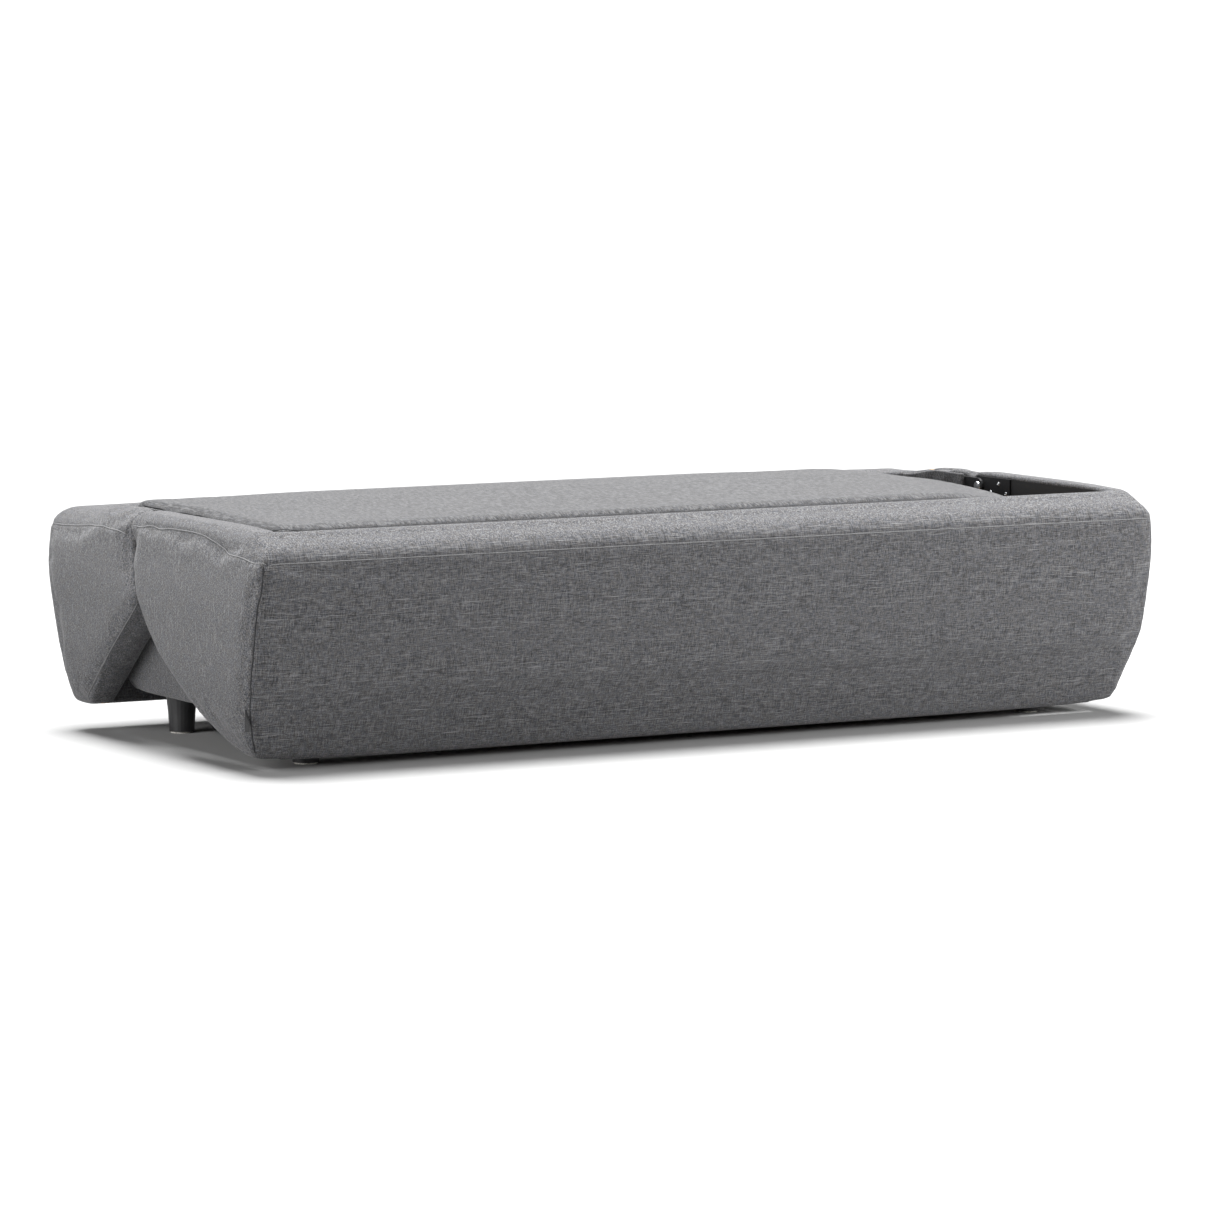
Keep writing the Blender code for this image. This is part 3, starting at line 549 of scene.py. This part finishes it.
for name, side in SIDES:
    corner = (side * (HALF_L + LONG_OUT), -HALF_D - LONG_OUT, SEAM_Z)
    down = [
        (side * (HALF_L + OUT - float(end_inset(h))), -HALF_D - OUT + float(front_inset(h)), h)
        for h in FRONT_CORNER
    ]
    # The front corner seam is real; its near-black bead in the dark tone is painted shade of the seam's groove.
    sew("fixed_corner_seam_painted_shade_" + name, "base", "dark", fixed_cover, down, CORNER_SEAM_SHADE_BEAD)
    rim = [corner, *((side * (HALF_L + OUT), y, z) for y, z in FIXED_ARM_TOP)]
    sew("fixed_arm_seam_" + name, "base", "light", fixed_cover, rim, ARM_SEAM)
    edge = [(side * (HALF_L + NEAR), y, z) for y, z in FIXED_ARM_EDGE]
    sew("fixed_edge_seam_" + name, "base", "light", fixed_cover, edge, EDGE_SEAM)
    rear = [
        (side * (HALF_L + OUT - float(end_inset(h))), HALF_D + OUT - float(rear_inset(h)), h)
        for h in REAR_CORNER
    ]
    # The rear corner seam is real; its near-black bead in the dark tone is painted shade of the seam's groove.
    sew("revolving_corner_seam_painted_shade_" + name, "revolving_shell", "dark", revolving_cover, rear, CORNER_SEAM_SHADE_BEAD)
    corner = (side * (HALF_L + NEAR), HALF_D + NEAR, REAR_SEAM_Z)
    rim = [corner, *((side * (HALF_L + OUT), y, z) for y, z in REVOLVING_ARM_TOP)]
    sew("revolving_arm_seam_" + name, "revolving_shell", "light", revolving_cover, rim, ARM_SEAM)
    for place, x in (("outer", HALF_L + NEAR), ("inner", LINING_X)):
        slant = [(side * x, y, z) for y, z in REVOLVING_SLANT]
        slant_name = f"revolving_{place}_slant_seam_{name}"
        sew(slant_name, "revolving_shell", "light", revolving_cover, slant, SLANT_SEAM)
for name, body, cover, y, z in (
    ("fixed_front_seam", "base", fixed_cover, -HALF_D - LONG_OUT, SEAM_Z),
    ("revolving_rear_seam", "revolving_shell", revolving_cover, HALF_D + LONG_OUT, REAR_SEAM_Z),
):
    sew(name, body, "light", cover, [(x, y, z) for x in np.linspace(-HALF_L, HALF_L, 15)], PANEL_SEAM)

# round the mattress: along the front edge, past the front left corner and along the left end. The near-black bead
# laid here is painted shade of the gap between the mattress and the rim.
low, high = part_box("mattress_core")
edge_z = HEIGHT - 0.0025
edge = [(x, low.y - 0.014, edge_z) for x in np.linspace(0.76, -0.88, 12)]
edge += [(low.x + 0.008, low.y + 0.010, edge_z)]
edge += [
    (low.x - 0.014 + 0.034 * float(step_between(y, -0.33, 0.20)), y, edge_z - 0.002)
    for y in np.linspace(-0.34, 0.30, 8)
]
sew("mattress_edge_painted_gap_shade", "base", "dark", mattress_cover, edge, MATTRESS_GAP_SHADE_BEAD)


# ---------------------------------------------------------------- small fittings


def combined(name, parts):
    """One object from several (verts, faces) lists."""
    verts, faces = [], []
    for v, f in parts:
        faces += [tuple(i + len(verts) for i in face) for face in f]
        verts += list(v)
    return mesh_object(name, verts, faces)


def lathe(profile, centre, axis, count=20):
    """Turned (verts, faces) from (radius, distance) rings along an axis."""
    axis = Vector(axis).normalized()
    u = axis.orthogonal().normalized()
    v = axis.cross(u)
    verts, faces = [], []
    for radius, far in profile:
        for i in range(count):
            a = 2 * math.pi * i / count
            verts.append(tuple(Vector(centre) + axis * far + (u * math.cos(a) + v * math.sin(a)) * radius))
    for r in range(len(profile) - 1):
        for i in range(count):
            j = (i + 1) % count
            faces.append((r * count + i, r * count + j, (r + 1) * count + j, (r + 1) * count + i))
    faces.append(tuple(range(count))[::-1])
    faces.append(tuple((len(profile) - 1) * count + i for i in range(count)))
    return verts, faces


def screw_head(centre, axis, radius=0.0042):
    """Domed head with a hexagon socket."""
    dome = [(radius, 0), (radius, 0.0006), (0.93 * radius, 0.0014), (0.72 * radius, 0.0020)]
    socket = [(0.52 * radius, 0.0021), (0.46 * radius, 0.0009)]
    return lathe(dome + socket, centre, axis, 18)


PLATE_SCREW_RISE = 0.010
fixed_heads, moving_heads, bar_heads, bracket_heads = [], [], [], []
for name, side in SIDES:
    inward = (-side, 0, 0)
    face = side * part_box("fixed_hinge_plate_right")[0].x
    for y, way in ((-0.040, -1), (-0.012, 1), (0.018, -1)):
        fixed_heads.append(screw_head((face, y, FIXED_PIVOT.z + PLATE_SCREW_RISE * way), inward))
    for y, way in ((0.186, -1), (0.214, 1), (0.242, -1)):
        moving_heads.append(screw_head((face, y, MOVING_PIVOT.z + PLATE_SCREW_RISE * way), inward))
    low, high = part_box("side_bar_right")
    for y in (low.y + 0.03, (low.y + high.y) / 2, high.y - 0.03):
        bar_heads.append(screw_head((side * low.x, y, (low.z + high.z) / 2), inward))
    for number in (1, 2):
        low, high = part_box(f"shell_bracket_right_{number}")
        inner = side * (high.x - 0.004)
        for z in (high.z - 0.015, high.z - 0.045):
            bracket_heads.append(screw_head((inner, (low.y + high.y) / 2, z), inward))

fittings = [
    ("base", "zinc", combined("fixed_hinge_screws", fixed_heads)),
    ("revolving_shell", "zinc", combined("moving_hinge_screws", moving_heads)),
    ("base", "black_steel", combined("side_bar_screws", bar_heads)),
    ("base", "zinc", combined("bracket_screws", bracket_heads)),
]

# Fabric flap that hides the hinge from the mattress side, open at its nose end for the link
FLAP_STEP = 0.0022
FLAP_X = 0.9515
FLAP_HALF_THICK = 0.0026
FLAP_FRONT_Y = APEX_Y + 0.004
FLAP_REAR_Y = 0.345
FLAP_LOW_Z = 0.382
FLAP_TOP_Z = 0.4700
FLAP_EDGE_R = 0.002
FLAP_WAVE = 0.0012
CAP_X = (0.949, 0.9745)  # the cap closes the gap between the flap and the arm, behind the hinge
CAP_FRONT_Y = 0.170
CAP_Z = 0.4680
for name, side in SIDES:
    low, high = (0.938, APEX_Y - 0.004, 0.370), (0.982, 0.352, HEIGHT + 0.006)
    x, y, z = grid(low, high, FLAP_STEP)
    wave = FLAP_WAVE * np.sin(y * 90) * (1 - step_between(z, 0.440, 0.470))
    fall = 0.016 * step_between(y, 0.20, 0.34)
    reach = np.maximum(FLAP_FRONT_Y - y, y - FLAP_REAR_Y)
    rise = np.maximum(FLAP_LOW_Z - z, z - FLAP_TOP_Z + fall)
    sheet = both(np.abs(x - FLAP_X - wave) - FLAP_HALF_THICK, np.maximum(reach, rise), FLAP_EDGE_R)
    cap_reach = np.maximum(CAP_FRONT_Y - y, y - FLAP_REAR_Y)
    cap_rise = np.abs(z - CAP_Z + fall) - FLAP_HALF_THICK
    cap = both(np.maximum(CAP_X[0] - x, x - CAP_X[1]), np.maximum(cap_reach, cap_rise), FLAP_EDGE_R)
    flap = skin("hinge_flap_" + name, np.minimum(sheet, cap), low, FLAP_STEP)
    if side < 0:
        co = coordinates(flap)
        co[:, 0] *= -1
        set_coordinates(flap, co)
        flap.data.flip_normals()
    fittings.append(("revolving_shell", "shell_fabric", flap))


# Section of the tab: share of its width outwards, share of its thickness sideways
TAB_SECTION = ((0, 0.5), (0.35, 0.62), (0.7, 0.66), (0.93, 0.48), (1.0, 0.0),
               (0.93, -0.48), (0.7, -0.66), (0.35, -0.62), (0, -0.5))
TAB_ROWS = 12
TAB_WIDTH, TAB_THICK = 0.0145, 0.0016
TAB_BEND = 0.0008
TAB_ROOT = 0.002  # how deep the tab starts inside the cover
STITCHES = 9
STITCH_PITCH = 0.0046
STITCH_OUT, STITCH_SIDE = 0.0042, 0.0011
STITCH_PROFILE = ((0.0001, -0.0015), (0.00028, -0.0010), (0.00028, 0.0010), (0.0001, 0.0015))


def tab(place, out, height, width, thick):
    """A soft folded loop of tape standing out of a seam, with its fold outermost."""
    place, out = Vector(place), Vector(out).normalized()
    side = out.cross(Vector((0, 0, 1))).normalized()
    verts, faces = [], []
    for r in range(TAB_ROWS):
        t = r / (TAB_ROWS - 1)
        bend = TAB_BEND * math.sin(math.pi * t)
        for u, v in TAB_SECTION:
            p = place + out * (u * width) + side * (v * thick + bend * u) + Vector((0, 0, (t - 0.5) * height))
            verts.append(tuple(p))
    n = len(TAB_SECTION)
    for r in range(TAB_ROWS - 1):
        for i in range(n):
            j = (i + 1) % n
            faces.append((r * n + i, r * n + j, (r + 1) * n + j, (r + 1) * n + i))
    faces.append(tuple(range(n))[::-1])
    faces.append(tuple((TAB_ROWS - 1) * n + i for i in range(n)))
    return verts, faces


# Blank tape tab, folded double and caught in the left corner seam
label_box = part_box("sewn_label")
label_z = (label_box[0].z + label_box[1].z) / 2
label_height = label_box[1].z - label_box[0].z
guide = (-HALF_L + float(end_inset(label_z)) - OUT, -HALF_D + float(front_inset(label_z)) - OUT, label_z)
spot, _ = on_surface(fixed_cover, [guide])
outward = Vector((-0.90, -0.42, 0.0)).normalized()
across = outward.cross(Vector((0, 0, 1))).normalized()
root = Vector(spot[0]) - outward * TAB_ROOT
label = combined("sewn_label_tab", [tab(root, outward, label_height, TAB_WIDTH, TAB_THICK)])
stitch_parts = []
for k in range(STITCHES):
    z = label_z + (k - STITCHES // 2) * STITCH_PITCH
    for way in (-1, 1):
        middle = root + outward * STITCH_OUT + across * way * STITCH_SIDE
        stitch_parts.append(lathe(STITCH_PROFILE, (middle.x, middle.y, z), (0, 0, 1), 6))
stitches = combined("label_stitches", stitch_parts)

# ---------------------------------------------------------------- materials


class Paint:
    """Builds one procedural material, node by node."""

    def __init__(self, name, rough, metallic=0.0):
        self.mat = bpy.data.materials.new(name)
        self.mat.use_nodes = True
        self.tree = self.mat.node_tree
        self.shader = self.tree.nodes["Principled BSDF"]
        self.shader.inputs["Roughness"].default_value = rough
        self.shader.inputs["Metallic"].default_value = metallic
        self.place = self.tree.nodes.new("ShaderNodeTexCoord")

    def node(self, kind, inputs=(), **settings):
        """New shader node with its settings made and its inputs fed."""
        made = self.tree.nodes.new("ShaderNode" + kind)
        for key, value in settings.items():
            setattr(made, key, value)
        for key, value in dict(inputs).items():
            self.feed(made.inputs[key], value)
        return made

    def feed(self, socket, value):
        """Links a socket to an output, or sets it to a constant."""
        if isinstance(value, bpy.types.NodeSocket):
            self.tree.links.new(value, socket)
        else:
            socket.default_value = value

    def math(self, operation, a, b=0.0):
        """Arithmetic on one or two values."""
        return self.node("Math", {0: a, 1: b}, operation=operation).outputs[0]

    def noise(self, stretch, detail=1.0, rough=0.5, shift=(0.0, 0.0, 0.0)):
        """Noise whose grains are as long along X, Y and Z as 1 / stretch."""
        where = {"Vector": self.place.outputs["Object"], "Scale": stretch, "Location": shift}
        mapped = self.node("Mapping", where)
        settings = {"Vector": mapped.outputs[0], "Scale": 1.0, "Detail": detail, "Roughness": rough}
        return self.node("TexNoise", settings).outputs["Fac"]

    def rise(self, value, start, end):
        """0 below start and 1 above end."""
        limits = {"Value": value, "From Min": start, "From Max": end}
        return self.node("MapRange", limits, interpolation_type="SMOOTHSTEP").outputs[0]

    def mix(self, factor, a, b):
        """Colour a, turning into b as factor goes to 1."""
        made = self.node("Mix", data_type="RGBA")
        self.feed(made.inputs[0], factor)
        self.feed(made.inputs[6], (*a, 1) if isinstance(a, tuple) else a)
        self.feed(made.inputs[7], (*b, 1) if isinstance(b, tuple) else b)
        return made.outputs[2]

    def colour(self, value):
        """Sets or links the base colour."""
        self.feed(self.shader.inputs["Base Color"], (*value, 1) if isinstance(value, tuple) else value)

    def roughness(self, value, low, high):
        """Roughness that follows a 0 to 1 value between two limits."""
        mapped = self.node("MapRange", {"Value": value, "To Min": low, "To Max": high})
        self.feed(self.shader.inputs["Roughness"], mapped.outputs[0])

    def bump(self, height, strength, distance):
        """Fine relief from a height value."""
        made = self.node("Bump", {"Height": height, "Strength": strength, "Distance": distance})
        self.feed(self.shader.inputs["Normal"], made.outputs[0])


def melange(name, dark, base, light, slub, contrast, top_weft, top_warp):
    """Woven upholstery of mixed grey yarns, with slubs that lie along X, and upright on the ends."""
    paint = Paint(name, 0.93)
    facing = paint.node("SeparateXYZ", {"Vector": paint.place.outputs["Normal"]})
    ends = paint.rise(paint.math("ABSOLUTE", facing.outputs["X"]), 0.62, 0.80)
    tops = paint.rise(paint.math("ABSOLUTE", facing.outputs["Z"]), 0.62, 0.80)

    def by_face(front, end, top):
        """One value on the long sides, another on the ends, a third on the tops."""
        for other, mask in ((end, ends), (top, tops)):
            gap = paint.math("SUBTRACT", other, front)
            front = paint.math("ADD", front, paint.math("MULTIPLY", gap, mask))
        return front

    weft = by_face(paint.noise((60, 40, 1150), 2), paint.noise((40, 700, 240), 2), paint.noise(top_weft, 2))
    warp = by_face(
        paint.noise((1150, 40, 70), 2, shift=(3, 1, 7)),
        paint.noise((40, 240, 700), 2, shift=(2, 5, 1)),
        paint.noise(top_warp, 2, shift=(1, 9, 4)),
    )
    long_slub = by_face(
        paint.noise((13, 30, 800), 1, shift=(7, 3, 2)),
        paint.noise((30, 600, 40), 1, shift=(6, 2, 8)),
        paint.noise((60, 600, 40), 1, shift=(4, 4, 4)),
    )
    grain = paint.noise((560, 560, 560), 2)
    hue = paint.noise((160, 160, 160), 1, shift=(5, 5, 5))
    cloud = paint.noise((2.6, 2.6, 2.6), 2, 0.55)
    threads = paint.math("ADD", paint.math("MULTIPLY", weft, 0.40), paint.math("MULTIPLY", warp, 0.36))
    threads = paint.math("ADD", threads, paint.math("MULTIPLY", grain, 0.24))
    tone = paint.rise(threads, 0.5 - 0.16 / contrast, 0.5 + 0.16 / contrast)
    cool = tuple(c * k for c, k in zip(base, (0.955, 0.99, 1.07)))
    warm = tuple(c * k for c, k in zip(base, (1.05, 1.0, 0.94)))
    yarn = paint.mix(paint.rise(hue, 0.40, 0.60), cool, warm)
    shade = paint.mix(paint.rise(tone, 0.0, 0.5), dark, yarn)
    shade = paint.mix(paint.math("MULTIPLY", paint.rise(tone, 0.55, 1.0), 0.8), shade, light)
    fleck = paint.math("MULTIPLY", paint.rise(long_slub, 0.63, 0.76), slub)
    shade = paint.mix(fleck, shade, tuple(1.25 * c for c in light))
    worn = paint.rise(cloud, 0.30, 0.72)
    soiled = paint.mix(paint.math("MULTIPLY", worn, 0.10), shade, tuple(1.5 * c for c in base))
    paint.colour(soiled)
    paint.roughness(threads, 0.84, 1.0)
    paint.shader.inputs["Sheen Weight"].default_value = 0.12
    paint.shader.inputs["Sheen Roughness"].default_value = 0.5
    paint.shader.inputs["Specular IOR Level"].default_value = 0.25
    height = paint.math("ADD", threads, paint.math("MULTIPLY", fleck, 0.5))
    paint.bump(height, 0.55, 0.0012)
    return paint.mat


def wood(name, dark, light, along_axis, rough, scale=1.0):
    """Planed timber with its grain along one axis."""
    paint = Paint(name, rough)
    stretch = [70 * scale] * 3
    stretch[along_axis] = 4 * scale
    fine = [420 * scale] * 3
    fine[along_axis] = 14 * scale
    rings = paint.noise(tuple(stretch), 4, 0.6)
    pores = paint.noise(tuple(fine), 2)
    paint.colour(paint.mix(paint.rise(rings, 0.36, 0.66), dark, light))
    paint.roughness(pores, rough - 0.08, rough + 0.12)
    paint.bump(paint.math("ADD", rings, paint.math("MULTIPLY", pores, 0.4)), 0.25, 0.0006)
    return paint.mat


def coated(name, colour, scuff, rough, metallic, grain, strength):
    """Painted, moulded or plated surface with a fine grain and a few rubbed spots."""
    paint = Paint(name, rough, metallic)
    fine = paint.noise((grain, grain, grain), 2)
    spots = paint.noise((38, 38, 38), 4, 0.65)
    rubbed = paint.rise(spots, 0.60, 0.72)
    paint.colour(paint.mix(paint.math("MULTIPLY", rubbed, 0.6), colour, scuff))
    uneven = paint.math("ADD", paint.math("MULTIPLY", fine, 0.5), paint.math("MULTIPLY", spots, 0.5))
    paint.roughness(uneven, rough - 0.10, rough + 0.12)
    paint.bump(fine, strength, 0.0004)
    return paint.mat


def cloth(name, dark, light, threads, rough=0.95):
    """Plain cloth or felt with a fine woven grain."""
    paint = Paint(name, rough)
    weft = paint.noise((threads, threads * 0.12, threads), 1)
    warp = paint.noise((threads * 0.12, threads, threads), 1, shift=(4, 2, 9))
    weave = paint.math("ADD", weft, warp)
    paint.colour(paint.mix(paint.rise(weave, 0.8, 1.2), dark, light))
    paint.roughness(weave, rough - 0.05, rough)
    paint.shader.inputs["Sheen Weight"].default_value = 0.10
    paint.bump(weave, 0.4, 0.0006)
    return paint.mat


def foam(name):
    """Cut foam with open cells."""
    paint = Paint(name, 0.95)
    cells = paint.noise((700, 700, 700), 2)
    paint.colour(paint.mix(cells, (0.62, 0.58, 0.44), (0.84, 0.81, 0.68)))
    paint.bump(cells, 0.5, 0.001)
    return paint.mat


SHELL_CLOTH = melange(
    "shell_cloth", (0.016, 0.016, 0.0175), (0.057, 0.057, 0.060), (0.150, 0.149, 0.151),
    slub=0.75, contrast=1.4, top_weft=(620, 220, 90), top_warp=(420, 300, 90))
MATTRESS_CLOTH = melange(
    "mattress_cloth", (0.0150, 0.0150, 0.0160), (0.042, 0.042, 0.0445), (0.096, 0.096, 0.0975),
    slub=0.25, contrast=1.8, top_weft=(400, 52, 90), top_warp=(300, 75, 90))
FRAME_TIMBER = ((0.42, 0.27, 0.14), (0.64, 0.47, 0.29))
SLOT_PAINT = {
    "shell_fabric": SHELL_CLOTH,
    "mattress_fabric": MATTRESS_CLOTH,
    "foam": foam("cut_foam"),
    "black_cloth": cloth("dust_cloth", (0.010, 0.010, 0.011), (0.030, 0.030, 0.032), 900),
    "felt": cloth("felt_grey", (0.34, 0.33, 0.30), (0.60, 0.58, 0.54), 500),
    "label_tape": cloth("label_weave", (0.012, 0.012, 0.013), (0.034, 0.034, 0.036), 2200, 0.8),
    "timber": wood("frame_timber", *FRAME_TIMBER, 0, 0.62),
    "beech": wood("slat_beech", (0.52, 0.35, 0.20), (0.71, 0.53, 0.35), 1, 0.42),
    "black_board": coated("black_board_paint", (0.016, 0.016, 0.017), (0.045, 0.045, 0.047), 0.62, 0.0, 420, 0.35),
    "black_steel": coated("black_powder_coat", (0.028, 0.028, 0.030), (0.090, 0.090, 0.092), 0.42, 0.55, 1500, 0.3),
    "zinc": coated("bright_zinc", (0.62, 0.63, 0.65), (0.42, 0.43, 0.44), 0.30, 1.0, 600, 0.12),
    "black_plastic": coated("foot_plastic", (0.018, 0.018, 0.019), (0.040, 0.040, 0.041), 0.46, 0.0, 1200, 0.25),
}
TIMBER_ACROSS = wood("frame_timber_across", *FRAME_TIMBER, 1, 0.62)


def seam_cloth(name, dark, light):
    """Folded fabric edge and sewing thread in a seam; in its near-black tone, painted shade that stands in for the
    shadow in a seam's groove.
    """
    paint = Paint(name, 0.9)
    turns = paint.noise((520, 520, 520), 1)
    paint.colour(paint.mix(paint.rise(turns, 0.35, 0.65), dark, light))
    paint.bump(turns, 0.6, 0.0006)
    return paint.mat


# The dark tone is painted shade: near-black beads that stand in for the shadow in seam grooves. The light tone is
# thread.
SEAM_PAINT = {
    "dark": seam_cloth("seam_painted_groove_shade", (0.006, 0.006, 0.0066), (0.022, 0.022, 0.024)),
    "light": seam_cloth("seam_thread_light", (0.085, 0.085, 0.087), (0.15, 0.15, 0.152)),
}


def finish_with(obj, paint):
    """Gives every face of a piece one material."""
    obj.data.materials.clear()
    obj.data.materials.append(paint)


slot_of = {part["node"]: part["material_slot"] for part in frame["record"]["subparts"]}
RAILS_ACROSS = ("foot_batten", "base_cross", "base_rail_left", "base_rail_right")
for node, obj in frame["nodes"].items():
    across_bed = slot_of[node] == "timber" and node.startswith(RAILS_ACROSS)
    finish_with(obj, TIMBER_ACROSS if across_bed else SLOT_PAINT[slot_of[node]])


def covers(obj, body, slot, stands_for=(), paint=None):
    """Puts a finished piece on its body with the look of its slot, or the paint given, and hides the CAD nodes that
    it stands for.
    """
    finish_with(obj, paint or SLOT_PAINT[slot])
    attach(obj, body)
    if stands_for:
        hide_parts(*stands_for)


covers(fixed_cover, "base", "shell_fabric", (
    "fixed_panel_pad", "fixed_arm_pad_left", "fixed_arm_pad_right"))
covers(revolving_cover, "revolving_shell", "shell_fabric", (
    "revolving_panel_pad", "revolving_arm_pad_left", "revolving_arm_pad_right",
    "revolving_panel_lining", "revolving_arm_lining_left", "revolving_arm_lining_right"))
covers(mattress_cover, "base", "mattress_fabric", ("mattress_comfort_layer", "mattress_core"))
covers(base_skirt, "base", "shell_fabric", ("base_seat_pad", "base_pad_left", "base_pad_right"))
# Seam beads: the light ones are thread, the dark ones painted shade of the grooves.
for body, tone, piece in seams:
    covers(piece, body, "shell_fabric", paint=SEAM_PAINT[tone])
for body, slot, piece in fittings:
    covers(piece, body, slot)
covers(label, "base", "label_tape", stands_for=("sewn_label",))
covers(stitches, "base", "label_tape", paint=seam_cloth("label_thread", (0.05, 0.05, 0.05), (0.10, 0.10, 0.10)))

# ---------------------------------------------------------------- studio
scene = bpy.context.scene
scene.view_settings.view_transform = "Standard"

FLOOR_REACH = 60
FLOOR_CORNERS = [(x * FLOOR_REACH, y * FLOOR_REACH, 0) for x, y in ((-1, -1), (1, -1), (1, 1), (-1, 1))]
floor = mesh_object("floor", FLOOR_CORNERS, [(0, 1, 2, 3)])
paper = Paint("floor_paper", 0.85)
paper.colour(paper.mix(paper.noise((1.3, 1.3, 1.3), 3), (0.30, 0.30, 0.30), (0.315, 0.315, 0.315)))
finish_with(floor, paper.mat)


def softbox(name, place, aim, size, power):
    """Square area light aimed at a point."""
    data = bpy.data.lights.new(name, "AREA")
    data.shape = "RECTANGLE"
    data.size, data.size_y, data.energy = size, size, power
    lamp = bpy.data.objects.new(name, data)
    lamp.location = place
    lamp.rotation_euler = (Vector(aim) - Vector(place)).to_track_quat("-Z", "Y").to_euler()
    scene.collection.objects.link(lamp)


softbox("left_fill", (-4.6, -0.5, 1.4), (-1.0, -0.2, 0.25), 2.2, 158)
softbox("right_fill", (3.2, -3.4, 1.5), (1.0, -0.4, 0.3), 1.6, 270)

SUN_STRENGTH = 11.8
SUN_ANGLE = 0.62  # radians across, as wide as a large lamp overhead
SUN_TILT = (math.radians(-9), math.radians(3), 0)
sun_data = bpy.data.lights.new("overhead", "SUN")
sun_data.energy = SUN_STRENGTH
sun_data.angle = SUN_ANGLE
sun = bpy.data.objects.new("overhead", sun_data)
sun.rotation_euler = SUN_TILT
scene.collection.objects.link(sun)

FILL_STRENGTH, BACKDROP_STRENGTH = 0.09, 1.2  # what lights the bed, and what the camera sees behind it
world = bpy.data.worlds.new("studio")
scene.world = world
world.use_nodes = True
sky = world.node_tree.nodes["Background"]
white = world.node_tree.nodes.new("ShaderNodeBackground")
seen = world.node_tree.nodes.new("ShaderNodeLightPath")
blend = world.node_tree.nodes.new("ShaderNodeMixShader")
for backdrop, strength in ((sky, FILL_STRENGTH), (white, BACKDROP_STRENGTH)):
    backdrop.inputs["Color"].default_value = (1.0, 1.0, 1.0, 1)
    backdrop.inputs["Strength"].default_value = strength
world.node_tree.links.new(seen.outputs["Is Camera Ray"], blend.inputs[0])
world.node_tree.links.new(sky.outputs[0], blend.inputs[1])
world.node_tree.links.new(white.outputs[0], blend.inputs[2])
world.node_tree.links.new(blend.outputs[0], world.node_tree.nodes["World Output"].inputs[0])

CAMERA_PLACE = (-5.966, -10.47, 1.487)
CAMERA_DOWN, CAMERA_TURN = 5.92, -29.69  # degrees below level, and round Z from looking along +Y
camera_data = bpy.data.cameras.new("camera")
camera_data.lens = 173.2
camera_data.sensor_width = 36
camera_data.clip_end = 100
camera = bpy.data.objects.new("camera", camera_data)
camera.location = CAMERA_PLACE
camera.rotation_euler = (math.radians(90 - CAMERA_DOWN), 0, math.radians(CAMERA_TURN))
scene.collection.objects.link(camera)
scene.camera = camera
